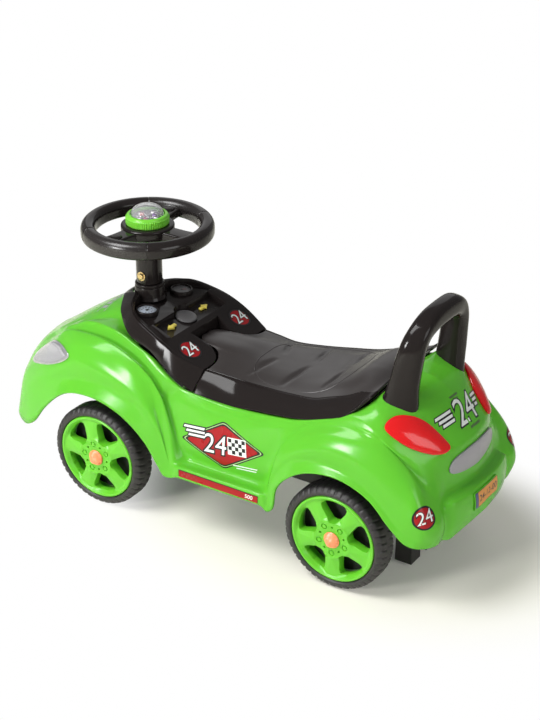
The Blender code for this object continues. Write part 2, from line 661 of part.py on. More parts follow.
def make_tub():
    tub = box("storage_tub", TUB_LOW, TUB_HIGH)
    flange_low = Vector((*TUB_LOW.xy, TUB_HIGH.z - WALL))
    join(tub, box("tub_flange", flange_low - FLANGE_REACH, TUB_HIGH + FLANGE_REACH))
    wall = Vector((WALL, WALL, WALL))
    above = Vector((-WALL, -WALL, 15))
    cut(tub, box("tub_inside", TUB_LOW + wall, TUB_HIGH + above))
    return paint(tub, "black_tub", BLACK, 0.4)


HANDLE_SQUARENESS = 2.6


def handle_loop(centre, along, depth, thick, sides=12):
    """One rounded section of the handle, square to the way it runs."""
    across = Vector((math.copysign(HANDLE_TOE_IN, -centre.x), 1, 0))
    across -= across.project(along)
    across.normalize()
    other = along.cross(across).normalized()
    loop = []
    for k in range(sides):
        angle = math.tau * k / sides
        c, s = math.cos(angle), math.sin(angle)
        stretch = (abs(c) ** HANDLE_SQUARENESS + abs(s) ** HANDLE_SQUARENESS) ** (-1 / HANDLE_SQUARENESS)
        loop.append(centre + across * (depth * c * stretch) + other * (thick * s * stretch))
    return loop


# Left half of the handle, foot to top: centre point, half depth front to back, half thickness.
HANDLE_PATH = (
    ((60, 234, 229), 17.5, 11.5),
    ((59, 236, 252), 17, 11.3),
    ((56, 239.5, 278), 16, 11.2),
    ((51, 243, 301), 15, 11.4),
    ((42, 246.5, 314.5), 13.6, 11.8),
    ((27, 248.5, 321.5), 12.8, 12.3),
    ((11, 249, 323.5), 12.5, 12.5),
)
HANDLE_LIFT = 2.0
HANDLE_TOE_IN = 0.22


def make_handle():
    left = [(Vector(point), depth, thick) for point, depth, thick in HANDLE_PATH]
    right = [(Vector((-point.x, point.y, point.z)), depth, thick) for point, depth, thick in reversed(left)]
    stations = [*left, *right]
    loops = []
    for i, (centre, depth, thick) in enumerate(stations):
        ahead = stations[min(i + 1, len(stations) - 1)][0]
        behind = stations[max(i - 1, 0)][0]
        loops.append(handle_loop(centre, (ahead - behind).normalized(), depth, thick))
    for number, (centre, _, _) in ((0, stations[0]), (-1, stations[-1])):
        foot = loops[number]
        inner = [[centre.lerp(point, part) for point in foot] for part in (0.75, 0.5, 0.25)]
        for point in [*foot, *(point for loop in inner for point in loop)]:
            point.z = deck_height(point.x, point.y) + HANDLE_LIFT
        if number == 0:
            loops[:0] = reversed(inner)
        else:
            loops.extend(inner)
    obj = finish_mesh("rear_handle", loft(loops), smooth_below=60)
    return paint(obj, "black_gloss_handle", BLACK, 0.18)


TAIL_LAMP = ((92.5, 233.5, 214), (84, 252, 199), (71, 269.5, 189), (56, 282, 186), (46, 286.5, 190),
             (54.5, 272, 210), (69.5, 256, 224), (84, 240.5, 226))
HEAD_LAMP = ((72, -279, 157), (70, -266, 167), (72, -246, 177), (80, -226, 187), (95, -204, 192),
             (107, -193, 190), (106, -205, 178), (98, -232, 163), (87, -262, 152), (78, -277, 150))
GREY_LENS = ((50, 291, 158), (44, 292, 170), (25, 297, 175), (0, 299.5, 177), (-25, 297, 175), (-44, 292, 170),
             (-50, 291, 158), (-36, 294, 152), (0, 301, 149), (36, 294, 152))
PLATE_HALF = (26.6, 10.7)
PLATE_HEIGHT = 116.5
PLATE_Y = 315.0


def make_lamps():
    for side, name in ((1, "left"), (-1, "right")):
        head = lamp_edge(HEAD_LAMP, side)
        bowl = body_patch("headlight_housing_" + name, head, 0.9, 0.0, 1.0)
        paint(bowl, "silver_housing_" + name, CHROME, 0.25, 1.0)
        lens = body_patch("headlight_lens_" + name, head, 2.7, 3.0, 1.4)
        paint(lens, "clear_lens_" + name, CLEAR, 0.08)
        tail = body_patch("tail_light_" + name, lamp_edge(TAIL_LAMP, side), 0.9, 4.0, 1.8)
        paint(tail, "red_lens_" + name, RED, 0.12)
    paint(body_patch("rear_grey_lens", lamp_edge(GREY_LENS), 1.4, 2.0, 1.8), "grey_lens", GREY, 0.3)


def make_plate():
    half_x, half_z = PLATE_HALF
    low, high = PLATE_HEIGHT - half_z, PLATE_HEIGHT + half_z
    corners = [Vector((half_x, PLATE_Y, low)), Vector((half_x, PLATE_Y, high)),
               Vector((-half_x, PLATE_Y, high)), Vector((-half_x, PLATE_Y, low))]
    edge = []
    for start, end, count in zip(corners, [*corners[1:], corners[0]], (2, 6, 2, 6)):
        edge.extend(start.lerp(end, part / count) for part in range(count))
    plate = body_patch("number_plate", edge, 1.7, 0.0, 1.5)
    paint(plate, "orange_plate", PLATE_ORANGE, 0.4)


CROSSMEMBER_LOW = (-104, STEERING_Y - 26, 157)
CROSSMEMBER_HIGH = (104, STEERING_Y + 26, 164)
BOSS_RADIUS = 14.0
BOSS_Z = (150.5, 175.0)
FRAME_LOW = (-97, REAR_AXLE_Y - 13.5, 185)
FRAME_HIGH = (97, REAR_AXLE_Y + 18.5, 191)
LEG_X = 67.0
LEG_HALF = 4.0
LEG_Y = (REAR_AXLE_Y - 15.5, REAR_AXLE_Y + 15.5)
LEG_Z = (50.0, 188.0)
STAND_LOW = (-29, 217, 110)
STAND_HIGH = (29, 239, 124)
ARM_LOW = (-20, 200.4, 112)
ARM_HIGH = (20, 220, 122)
FOOT_PLACE = (18.5, 228.5, 0)
FOOT_RADIUS = 15.5
FOOT_TOP_RADIUS = 13.5
FOOT_Z = (5.0, 118.0)


def make_frames():
    cross = box("front_crossmember", CROSSMEMBER_LOW, CROSSMEMBER_HIGH)
    join(cross, cylinder("bearing_boss", BOSS_RADIUS, *BOSS_Z, 20, (0, STEERING_Y, 0)))
    cut(cross, cylinder("bearing_hole", ROD_BORE, BOSS_Z[0] - 10, BOSS_Z[1] + 15, 16, (0, STEERING_Y, 0)))
    paint(cross, "black_crossmember", BLACK, 0.45)
    frame = box("rear_axle_frame", FRAME_LOW, FRAME_HIGH)
    for side in (1, -1):
        middle = side * LEG_X
        low = (middle - LEG_HALF, LEG_Y[0], LEG_Z[0])
        high = (middle + LEG_HALF, LEG_Y[1], LEG_Z[1])
        join(frame, box(f"frame_leg_{side}", low, high))
    cut(frame, cylinder("axle_hole", HUB_BORE, -AXLE_HALF, AXLE_HALF, 16, (0, REAR_AXLE_Y, AXLE_HEIGHT), (0, 90, 0)))
    paint(frame, "black_axle_frame", BLACK, 0.45)
    stand = box("anti_tip_stand", STAND_LOW, STAND_HIGH)
    join(stand, box("stand_arm", ARM_LOW, ARM_HIGH))
    for side in (1, -1):
        x, y, z = FOOT_PLACE
        join(stand, cylinder(f"stand_leg_{side}", FOOT_RADIUS, *FOOT_Z, 4, (side * x, y, z), (0, 0, 45),
                             top_radius=FOOT_TOP_RADIUS))
    paint(stand, "black_stand", BLACK, 0.5)


BUSH_RADIUS = 9.0
BUSH_HALF = 4.6
BUSH_X = 76.0


def make_axles():
    for name, y in (("front_axle", FRONT_AXLE_Y), ("rear_axle", REAR_AXLE_Y)):
        axle = cylinder(name, AXLE_RADIUS, -AXLE_HALF, AXLE_HALF, 16, (0, y, AXLE_HEIGHT), (0, 90, 0))
        paint(axle, "steel_" + name, STEEL, 0.3, 1.0)
    for side, name in ((1, "left"), (-1, "right")):
        profile = ((BUSH_RADIUS, BUSH_HALF), (BUSH_RADIUS, -BUSH_HALF), (HUB_BORE, -BUSH_HALF), (HUB_BORE, BUSH_HALF))
        bush = turned(f"rear_bush_{name}", profile, 16, (side * BUSH_X, REAR_AXLE_Y, AXLE_HEIGHT), (0, 90, 0),
                      ring=True)
        paint(bush, "black_bush_" + name, BLACK, 0.5)


SPOKE_COUNT = 5
# Outline of one rim window: distance from the axle, and distance from the window's centre line.
WINDOW = ((21, -5), (38, -18), (46, -13.5), (48.5, 0), (46, 13.5), (38, 18), (21, 5))
WINDOW_Z = (-2.0, 22.0)
HUB_RADIUS = 13.0


def make_wheel(name, side, y):
    """Tyre, five spoke rim and hub cap, all turned about the axle; local +Z points outwards."""
    where = (side * TRACK_HALF, y, AXLE_HEIGHT)
    turn = (0, 90 * side, 0)
    half = TYRE_WIDTH / 2
    tyre = turned(
        "tyre_" + name,
        ((RIM_RADIUS + 0.4, half - 1.2), (RIM_RADIUS + 3, half), (WHEEL_RADIUS - 1.5, half - 3),
         (WHEEL_RADIUS, half - 8), (WHEEL_RADIUS, 8 - half), (WHEEL_RADIUS - 1.5, 3 - half),
         (RIM_RADIUS + 0.4, -half)),
        30, where, turn, ring=True)
    paint(tyre, "tyre_rubber_" + name, TYRE_BLACK, 0.7)
    rim = turned(
        "rim_" + name,
        ((RIM_RADIUS - 4, half - 3), (RIM_RADIUS - 1.5, half - 0.6), (RIM_RADIUS, half - 1.2),
         (RIM_RADIUS, -half + 1), (RIM_RADIUS - 3, -half + 1), (RIM_RADIUS - 4, half - 8), (22, half - 3.5),
         (HUB_RADIUS, half - 3.5), (HUB_RADIUS, -half), (HUB_BORE, -half), (HUB_BORE, half - 0.5),
         (20, half - 0.5), (24, half + 0.5)),
        25, where, turn, ring=True)
    for k in range(SPOKE_COUNT):
        angle = math.tau * (k + 0.5) / SPOKE_COUNT
        bm = bmesh.new()
        face = bm.faces.new([bm.verts.new((x, w, WINDOW_Z[0])) for x, w in WINDOW])
        grown = bmesh.ops.extrude_face_region(bm, geom=[face])["geom"]
        upper = [item for item in grown if isinstance(item, bmesh.types.BMVert)]
        bmesh.ops.translate(bm, verts=upper, vec=(0, 0, WINDOW_Z[1] - WINDOW_Z[0]))
        bmesh.ops.recalc_face_normals(bm, faces=bm.faces)
        bmesh.ops.rotate(bm, verts=bm.verts, cent=(0, 0, 0), matrix=Matrix.Rotation(angle, 3, "Z"))
        cut(rim, finish_mesh(f"window_{name}_{k}", bm, where, turn))
    paint(rim, "green_rim_" + name, GREEN, 0.25)
    cap = turned(
        "hub_cap_" + name,
        ((0, half + 7.4), (4, half + 6.8), (7.6, half + 4.6), (CAP_RADIUS, half + 1.4), (CAP_RADIUS, half - 0.1),
         (5, half - 0.1), (5, half + 4.2), (0, half + 4.2)),
        15, where, turn)
    paint(cap, "orange_cap_" + name, ORANGE, 0.3)


def make_wheels():
    for side, hand in ((1, "left"), (-1, "right")):
        make_wheel("front_" + hand, side, FRONT_AXLE_Y)
        make_wheel("rear_" + hand, side, REAR_AXLE_Y)


ROD_Z = (84.0, 297.0)
BOLT_CUT = 30.0
BOLT_X = (-18.0, 16.6)
BOLT_RADIUS = 2.0
BOLT_HEAD_X = (16.3, 19.5)
BOLT_HEAD_RADIUS = 4.6
GRIP_SIDES = 8
# Outer side of the hub from its top down to the sleeve.
HUB_PROFILE = ((30, HUB_TOP_Z), (31.5, 333), (31.5, 323), (28.5, 317), (19, 309), (SLEEVE_RADIUS, 301))


def make_steering():
    axis = (0, STEERING_Y, 0)
    rod = cylinder("steering_rod", ROD_RADIUS, *ROD_Z, 16, axis)
    cut(rod, cylinder("rod_bolt_bore", BOLT_BORE, -BOLT_CUT, BOLT_CUT, 10, (0, STEERING_Y, BOLT_Z), (0, 90, 0)))
    paint(rod, "steel_rod", STEEL, 0.3, 1.0)
    wheel = turned(
        "steering_wheel",
        ((HUB_CAVITY_RADIUS, HUB_TOP_Z), *HUB_PROFILE, (SLEEVE_RADIUS, SLEEVE_FOOT_Z), (ROD_BORE, SLEEVE_FOOT_Z),
         (ROD_BORE, HUB_CAVITY_Z), (HUB_CAVITY_RADIUS, HUB_CAVITY_Z)),
        24, axis, ring=True)
    bm = bmesh.new()
    bmesh.ops.create_circle(bm, segments=GRIP_SIDES, radius=GRIP_HALF_WIDTH)
    bmesh.ops.scale(bm, verts=bm.verts, vec=(1, GRIP_HALF_HEIGHT / GRIP_HALF_WIDTH, 1))
    bmesh.ops.rotate(bm, verts=bm.verts, cent=(0, 0, 0), matrix=Matrix.Rotation(math.pi / 2, 3, "X"))
    bmesh.ops.translate(bm, verts=bm.verts, vec=(STEERING_WHEEL_RADIUS, 0, STEERING_WHEEL_Z))
    bmesh.ops.spin(
        bm, geom=[*bm.verts, *bm.edges], cent=(0, 0, 0), axis=(0, 0, 1), angle=math.tau, steps=32, use_merge=True)
    bmesh.ops.recalc_face_normals(bm, faces=bm.faces)
    join(wheel, finish_mesh("grip", bm, axis))
    for k, angle in enumerate(SPOKE_ANGLES):
        spoke = box(f"spoke_{k}", SPOKE_LOW, SPOKE_HIGH)
        outer_end = SPOKE_HIGH[0] * MM
        for vert in spoke.data.vertices:
            if math.isclose(vert.co.x, outer_end, rel_tol=0.01):
                vert.co.y *= SPOKE_FLARE
        spoke.location += mm(*axis)
        spoke.rotation_euler.z = math.radians(angle)
        join(wheel, spoke)
    for side in (1, -1):
        well = cylinder(f"button_well_{side}", BUTTON_RADIUS + 0.4, BUTTON_FOOT_Z - 3, BUTTON_FOOT_Z + 20, 20,
                        button_place(side))
        cut(wheel, well)
    cut(wheel, cylinder("bolt_bore", BOLT_BORE, -BOLT_CUT, BOLT_CUT, 10, (0, STEERING_Y, BOLT_Z), (0, 90, 0)))
    paint(wheel, "black_gloss_wheel", BLACK, 0.2)
    module = cylinder("sound_module", MODULE_RADIUS, *MODULE_Z, 24, axis)
    paint(module, "black_module", BLACK, 0.4)
    ring = turned(
        "knurled_ring",
        ((DOME_RADIUS + 0.8, RING_TOP_Z), (25.2, RING_TOP_Z), (26.6, 346), (26.6, 339), (25.6, RING_FOOT_Z),
         (DOME_RADIUS + 0.8, RING_FOOT_Z)),
        24, axis, ring=True)
    paint(ring, "green_ring", GREEN, 0.3)
    dish = turned(
        "dome_reflector",
        ((0, 339), (12, 338.4), (DOME_RADIUS, 340.4), (DOME_RADIUS, RING_FOOT_Z), (0, RING_FOOT_Z)), 20, axis)
    paint(dish, "chrome_dish", CHROME, 0.12, 1.0)
    rise = DOME_TOP_Z - RING_TOP_Z
    bore = DOME_RADIUS - DOME_WALL
    outer = dome_arc(DOME_RADIUS, rise, 4)
    inner = dome_arc(bore, rise - DOME_WALL, 3)[::-1]
    dome = turned("music_dome", (*outer, (DOME_RADIUS, DOME_FOOT_Z), (bore, DOME_FOOT_Z), *inner), 20, axis)
    paint(dome, "clear_dome", CLEAR, 0.06)
    for side, name in ((1, "left"), (-1, "right")):
        button = turned(
            "horn_button_" + name,
            ((0, HUB_TOP_Z), (5, HUB_TOP_Z - 0.4), (BUTTON_RADIUS - 1, HUB_TOP_Z - 1.2),
             (BUTTON_RADIUS, HUB_TOP_Z - 2.4), (BUTTON_RADIUS, BUTTON_FOOT_Z), (0, BUTTON_FOOT_Z)),
            14, button_place(side))
        paint(button, "black_button_" + name, BLACK, 0.25)
    bolt = cylinder("column_bolt", BOLT_RADIUS, *BOLT_X, 10, (0, STEERING_Y, BOLT_Z), (0, 90, 0))
    head = cylinder("bolt_head", BOLT_HEAD_RADIUS, *BOLT_HEAD_X, 6, (0, STEERING_Y, BOLT_Z), (0, 90, 0))
    join(bolt, head)
    paint(bolt, "zinc_bolt", STEEL, 0.35, 1.0)


def dome_arc(radius, rise, steps):
    """Points of a quarter ellipse from the middle of the dome's top out to its side."""
    angles = [math.pi / 2 * k / steps for k in range(steps + 1)]
    return [(radius * math.sin(a), RING_TOP_Z + rise * math.cos(a)) for a in angles]


def button_place(side):
    angle = math.radians(SPOKE_ANGLES[0] if side > 0 else SPOKE_ANGLES[-1])
    return (BUTTON_REACH * math.cos(angle), STEERING_Y + BUTTON_REACH * math.sin(angle), 0)


CARRIER_LOW = (-72, FRONT_AXLE_Y - 13, 54)
CARRIER_HIGH = (72, FRONT_AXLE_Y + 13, 78)
POST_RADIUS = 15.0
POST_Z = (70.0, 150.0)


def make_carrier():
    carrier = box("axle_carrier", CARRIER_LOW, CARRIER_HIGH)
    join(carrier, cylinder("carrier_post", POST_RADIUS, *POST_Z, 20, (0, STEERING_Y, 0)))
    cut(
        carrier,
        cylinder("rod_socket", ROD_BORE, ROD_Z[0] - 1, POST_Z[1] + 10, 16, (0, STEERING_Y, 0)),
        cylinder("carrier_bore", HUB_BORE, -AXLE_HALF, AXLE_HALF, 16, (0, FRONT_AXLE_Y, AXLE_HEIGHT), (0, 90, 0)),
    )
    paint(carrier, "black_carrier", BLACK, 0.45)


make_body()
make_dash()
make_dash_trim()
make_seat()
make_seat_hinge()
make_tub()
make_handle()
make_lamps()
make_plate()
make_frames()
make_axles()
make_wheels()
make_steering()
make_carrier()
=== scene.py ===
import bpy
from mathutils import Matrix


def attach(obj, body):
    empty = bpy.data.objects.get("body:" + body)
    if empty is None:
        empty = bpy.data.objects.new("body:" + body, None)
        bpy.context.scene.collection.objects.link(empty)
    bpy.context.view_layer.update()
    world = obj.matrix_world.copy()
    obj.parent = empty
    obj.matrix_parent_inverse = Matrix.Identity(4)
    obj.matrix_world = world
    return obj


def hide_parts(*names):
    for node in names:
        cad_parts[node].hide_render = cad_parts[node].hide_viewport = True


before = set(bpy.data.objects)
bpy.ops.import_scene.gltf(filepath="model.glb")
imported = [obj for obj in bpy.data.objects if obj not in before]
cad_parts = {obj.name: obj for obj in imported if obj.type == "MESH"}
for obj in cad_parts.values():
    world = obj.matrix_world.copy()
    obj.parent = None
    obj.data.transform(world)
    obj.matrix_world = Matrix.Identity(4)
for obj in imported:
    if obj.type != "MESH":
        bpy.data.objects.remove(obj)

import copy
import math

import bmesh
import bpy
from mathutils import Matrix, Vector
from mathutils.bvhtree import BVHTree

# The drawing below is in millimetres with the front of the car at -Y, its left side at +X, and
# every y moved by CENTRE_Y, as in the CAD part.
MM = 0.001
CENTRE_Y = -1.3
WHEEL_RADIUS = 65.0
TRACK_HALF = 98.0
FRONT_AXLE_Y = -154.5
REAR_AXLE_Y = 181.5
STEERING_Y = -150.0
AXIS = Vector((0.0, STEERING_Y, 0.0))
WALL = 2.8
WHEEL_TURNS = {"front_left": -5.7, "front_right": 31.0, "rear_left": 17.8, "rear_right": 50.0}
SIDES = ((1, "left"), (-1, "right"))

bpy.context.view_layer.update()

BUMP_DISTANCE = 0.0002
INK_SPREAD = 0.04


def node(made, kind, values=(), **settings):
    """A shader node with its settings, and values for its inputs by name or number."""
    found = made.node_tree.nodes.new(kind)
    for name, value in settings.items():
        setattr(found, name, value)
    for key, value in dict(values).items():
        found.inputs[key].default_value = value
    return found


def wire(made, source, output, target, socket):
    made.node_tree.links.new(source.outputs[output], target.inputs[socket])


def principled(name, colour, roughness, **extra):
    """A material and its shader."""
    made = bpy.data.materials.new(name)
    made.use_nodes = True
    shader = made.node_tree.nodes["Principled BSDF"]
    shader.inputs["Base Color"].default_value = (*colour, 1.0)
    shader.inputs["Roughness"].default_value = roughness
    for socket, value in extra.items():
        shader.inputs[socket.replace("_", " ")].default_value = value
    return made, shader


def plastic(name, slot, colour, roughness, scale, strength, low, high, **extra):
    """A moulded surface, slightly wavy and uneven in gloss. Its slot argument names the record slot it
    stands for, but is not used.
    """
    made, shader = principled(name, colour, roughness, **extra)
    place = node(made, "ShaderNodeTexCoord")
    noise = node(made, "ShaderNodeTexNoise", {"Scale": scale, "Detail": 3.0})
    bump = node(made, "ShaderNodeBump", {"Strength": strength, "Distance": BUMP_DISTANCE})
    wide = node(made, "ShaderNodeTexNoise", {"Scale": scale * 0.3})
    spread = node(made, "ShaderNodeMapRange", {"To Min": low, "To Max": high})
    wire(made, place, "Object", noise, "Vector")
    wire(made, noise, "Fac", bump, "Height")
    wire(made, bump, "Normal", shader, "Normal")
    wire(made, place, "Object", wide, "Vector")
    wire(made, wide, "Fac", spread, "Value")
    wire(made, spread, "Result", shader, "Roughness")
    return made


def ink(name, slot, colour, roughness=0.3, **extra):
    low, high = roughness - INK_SPREAD, roughness + INK_SPREAD
    return plastic(name + " print", slot, colour, roughness, 90, 0.04, low, high, **extra)


# Name, record slot, colour, roughness, noise scale, bump, least and most roughness.
GREEN = plastic("green plastic", "green_plastic", (0.105, 0.450, 0.028), 0.2, 45, 0.07, 0.14, 0.22,
                Coat_Weight=0.05, Coat_Roughness=0.06, Subsurface_Weight=0.08, Subsurface_Scale=0.004,
                Specular_IOR_Level=0.24)
RIM_GREEN = plastic("rim green plastic", "green_plastic", (0.120, 0.500, 0.022), 0.3, 60, 0.08, 0.26, 0.36,
                    Subsurface_Weight=0.08, Subsurface_Scale=0.003)
RING_GREEN = plastic("ring green plastic", "green_plastic", (0.17, 0.58, 0.04), 0.3, 60, 0.08, 0.2, 0.3,
                     Subsurface_Weight=0.1, Subsurface_Scale=0.003)
BLACK = plastic("black gloss plastic", "black_gloss", (0.015, 0.012, 0.0115), 0.12, 55, 0.06, 0.08, 0.15,
                Specular_IOR_Level=0.17)
WHEEL_BLACK = plastic("steering wheel plastic", "black_satin", (0.015, 0.012, 0.0115), 0.16, 60, 0.06, 0.1,
                      0.18, Specular_IOR_Level=0.28)
GRIP_BLACK = plastic("steering grip plastic", "black_satin", (0.019, 0.016, 0.0155), 0.26, 420, 0.5, 0.2,
                     0.32)
SEAT_BLACK = plastic("satin seat plastic", "black_satin", (0.028, 0.023, 0.022), 0.34, 160, 0.12, 0.27, 0.38,
                     Specular_IOR_Level=0.75)
FRAME_BLACK = plastic("frame plastic", "black_satin", (0.022, 0.021, 0.021), 0.5, 120, 0.15, 0.45, 0.58)
TYRE_BLACK = plastic("tyre rubber", "tyre_rubber", (0.022, 0.020, 0.021), 0.45, 150, 0.15, 0.38, 0.52)
ORANGE = plastic("orange plastic", "orange_plastic", (1.0, 0.30, 0.14), 0.28, 60, 0.08, 0.24, 0.34,
                 Subsurface_Weight=0.25, Subsurface_Scale=0.004)
RED = plastic("red lamp plastic", "red_plastic", (0.66, 0.010, 0.012), 0.18, 40, 0.04, 0.1, 0.18,
              Specular_IOR_Level=0.4, Subsurface_Weight=0.1, Subsurface_Scale=0.003)
GREY = plastic("grey panel plastic", "grey_plastic", (0.31, 0.30, 0.33), 0.36, 90, 0.08, 0.3, 0.42)
SILVER = plastic("metallised plastic", "silver_trim", (0.72, 0.72, 0.74), 0.24, 70, 0.12, 0.16, 0.3,
                 Metallic=0.85)
DISH = plastic("bright reflector", "silver_trim", (0.62, 0.60, 0.62), 0.18, 70, 0.08, 0.12, 0.22,
               Metallic=0.9)
STEEL = plastic("zinc steel", "steel", (0.50, 0.49, 0.47), 0.3, 130, 0.15, 0.25, 0.4, Metallic=1.0)
BRASS = plastic("yellow zinc", "steel", (0.66, 0.50, 0.24), 0.3, 130, 0.1, 0.25, 0.35, Metallic=1.0)
YELLOW = plastic("yellow plastic", "yellow_plastic", (0.80, 0.66, 0.10), 0.32, 90, 0.08, 0.28, 0.38)
CLEAR = plastic("clear plastic", "clear_plastic", (0.90, 0.90, 0.92), 0.05, 30, 0.03, 0.03, 0.08,
                Transmission_Weight=0.85, IOR=1.25)
DIAL_WHITE = plastic("white dial print", "white_dial", (0.50, 0.56, 0.64), 0.4, 90, 0.05, 0.36, 0.46)
DIAL_GREY = plastic("grey dial print", "grey_dial", (0.115, 0.112, 0.114), 0.42, 90, 0.05, 0.36, 0.46)
PINK = plastic("pink light", "silver_trim", (0.85, 0.16, 0.36), 0.2, 60, 0.05, 0.16, 0.24)
PURPLE = plastic("purple light", "silver_trim", (0.36, 0.16, 0.55), 0.2, 60, 0.05, 0.16, 0.24)
INK_ORANGE = plastic("orange plate print", "orange_plate", (0.62, 0.25, 0.035), 0.4, 90, 0.04, 0.34, 0.44)
INK_BLUE = plastic("blue plate print", "black_satin", (0.06, 0.075, 0.20), 0.4, 90, 0.04, 0.34, 0.44)
INK_BLACK = ink("black", "black_satin", (0.010, 0.010, 0.011), Specular_IOR_Level=0.3)
INK_WHITE = ink("white", "white_dial", (0.76, 0.80, 0.78))
INK_RED = ink("red", "red_plastic", (0.33, 0.007, 0.010), 0.28, Specular_IOR_Level=0.25)
INK_DARK_RED = ink("dark red", "red_plastic", (0.26, 0.012, 0.012))
INK_PALE_GREEN = ink("pale green", "green_plastic", (0.36, 0.62, 0.22))
INK_DARK_GREEN = ink("dark green", "black_satin", (0.07, 0.16, 0.04))


def in_scene(name, data):
    obj = bpy.data.objects.new(name, data)
    bpy.context.scene.collection.objects.link(obj)
    return obj


def to_object(name, bm):
    mesh = bpy.data.meshes.new(name)
    bm.to_mesh(mesh)
    bm.free()
    return in_scene(name, mesh)


def piece(name, bm, paint, body="car", replaces="", smooth=35.0):
    """The bmesh, drawn in millimetres, as a finished object that rides on a CAD body."""
    bmesh.ops.translate(bm, verts=bm.verts, vec=(0, CENTRE_Y, 0))
    bmesh.ops.scale(bm, verts=bm.verts, vec=(MM, MM, MM))
    obj = to_object(name.replace(" ", "-"), bm)
    obj.data.shade_smooth()
    if smooth:
        obj.data.set_sharp_from_angle(angle=math.radians(smooth))
    obj.data.materials.append(paint)
    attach(obj, body)
    if replaces:
        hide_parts(replaces)
    return obj


def mirrored_wall(obj):
    """Adds the other half of a piece, then a wall inside its surface."""
    mirror = obj.modifiers.new("Other half", "MIRROR")
    mirror.use_axis = (True, False, False)
    mirror.merge_threshold = 0.0001
    mirror.use_clip = True
    wall = obj.modifiers.new("Wall", "SOLIDIFY")
    wall.thickness = WALL * MM
    wall.offset = -1.0
    wall.use_even_offset = False


def evaluated(obj):
    """The object's mesh after its modifiers, as a bmesh."""
    graph = bpy.context.evaluated_depsgraph_get()
    bm = bmesh.new()
    bm.from_mesh(obj.evaluated_get(graph).to_mesh())
    return bm


def carve(bm, cutters, unions=()):
    """The bmesh with solids joined to it and cut from it, all drawn in millimetres."""
    base = to_object("base", bm)
    helpers = []
    for operation, group in (("UNION", unions), ("DIFFERENCE", cutters)):
        for other in group:
            helpers.append(to_object("helper", other))
            modifier = base.modifiers.new("Cut", "BOOLEAN")
            modifier.operation = operation
            modifier.object = helpers[-1]
            modifier.solver = "EXACT"
    bpy.context.view_layer.update()
    found = evaluated(base)
    for obj in [base, *helpers]:
        mesh = obj.data
        bpy.data.objects.remove(obj)
        bpy.data.meshes.remove(mesh)
    bmesh.ops.remove_doubles(found, verts=found.verts, dist=0.001)
    return found


def round_edges(bm, width, segments=3, angle=38.0, keep=lambda edge: True):
    """Bevels each edge that turns by more than the angle, and that keep() lets through."""
    bm.normal_update()
    edges = [edge for edge in bm.edges if len(edge.link_faces) == 2
             and edge.calc_face_angle(0.0) > math.radians(angle) and keep(edge)]
    bmesh.ops.bevel(bm, geom=edges, offset=width, segments=segments, profile=0.5, affect="EDGES",
                    clamp_overlap=True, material=-1)
    return bm


def split_big_faces(bm):
    bmesh.ops.triangulate(bm, faces=[face for face in bm.faces if len(face.verts) > 4])
    return bm


def only_verts(items):
    return [item for item in items if isinstance(item, bmesh.types.BMVert)]


def polar(radius, angle, z=0.0):
    return Vector((radius * math.cos(angle), radius * math.sin(angle), z))


def cylinder(radius, low, high, sides):
    bm = bmesh.new()
    bmesh.ops.create_cone(bm, cap_ends=True, segments=sides, radius1=radius, radius2=radius,
                          depth=high - low)
    return moved(bm, (0, 0, (low + high) / 2))


def moved(bm, place=(0, 0, 0), turn=(0, 0, 0)):
    for axis, angle in zip("XYZ", turn):
        if angle:
            roll = Matrix.Rotation(math.radians(angle), 3, axis)
            bmesh.ops.rotate(bm, verts=bm.verts, cent=(0, 0, 0), matrix=roll)
    bmesh.ops.translate(bm, verts=bm.verts, vec=place)
    return bm


def merged(*parts):
    """Several bmeshes in one."""
    whole = bmesh.new()
    for part in parts:
        mesh = bpy.data.meshes.new("part")
        part.to_mesh(mesh)
        part.free()
        whole.from_mesh(mesh)
        bpy.data.meshes.remove(mesh)
    return whole


def turned(profile, steps=64, ring=False):
    """A profile of (radius, height) points spun about Z."""
    bm = bmesh.new()
    verts = [bm.verts.new((point[0], 0, point[1])) for point in profile]
    pairs = [*zip(verts, verts[1:]), *([(verts[-1], verts[0])] if ring else [])]
    edges = [bm.edges.new(pair) for pair in pairs]
    bmesh.ops.spin(bm, geom=[*verts, *edges], cent=(0, 0, 0), axis=(0, 0, 1), angle=math.tau, steps=steps,
                   use_merge=True)
    bmesh.ops.remove_doubles(bm, verts=bm.verts, dist=0.0005)
    bmesh.ops.recalc_face_normals(bm, faces=bm.faces)
    return bm


def arc_at(before, corner, after, radius, share, steps):
    """Points of the small arc that stands in for a corner."""
    before, corner, after = Vector(before), Vector(corner), Vector(after)
    reach = min(radius, (before - corner).length * share, (after - corner).length * share)
    start = corner + (before - corner).normalized() * reach
    end = corner + (after - corner).normalized() * reach
    shares = [k / steps for k in range(steps + 1)]
    return [start.lerp(corner, share).lerp(corner.lerp(end, share), share) for share in shares]


def rounded(profile, radius, steps=4):
    """The profile with each inner corner swapped for a small arc."""
    found = [Vector(profile[0])]
    for corner in zip(profile, profile[1:], profile[2:]):
        found += arc_at(*corner, radius, 0.45, steps)
    return [*found, Vector(profile[-1])]


def fillet_outline(corners, radius, steps=5):
    """The closed outline with each corner swapped for a small arc."""
    found = []
    for i, corner in enumerate(corners):
        found += arc_at(corners[i - 1], corner, corners[(i + 1) % len(corners)], radius, 0.48, steps)
    return found


def lathe(profile, fillet, steps=64, ring=False):
    return turned(rounded(profile, fillet), steps, ring)


def filled_in(points, step):
    """The line with points added between its own, about a step apart, and without its last one."""
    found = []
    for a, b in zip(points, points[1:]):
        count = max(1, round((b - a).length / step))
        found.extend(a.lerp(b, k / count) for k in range(count))
    return found


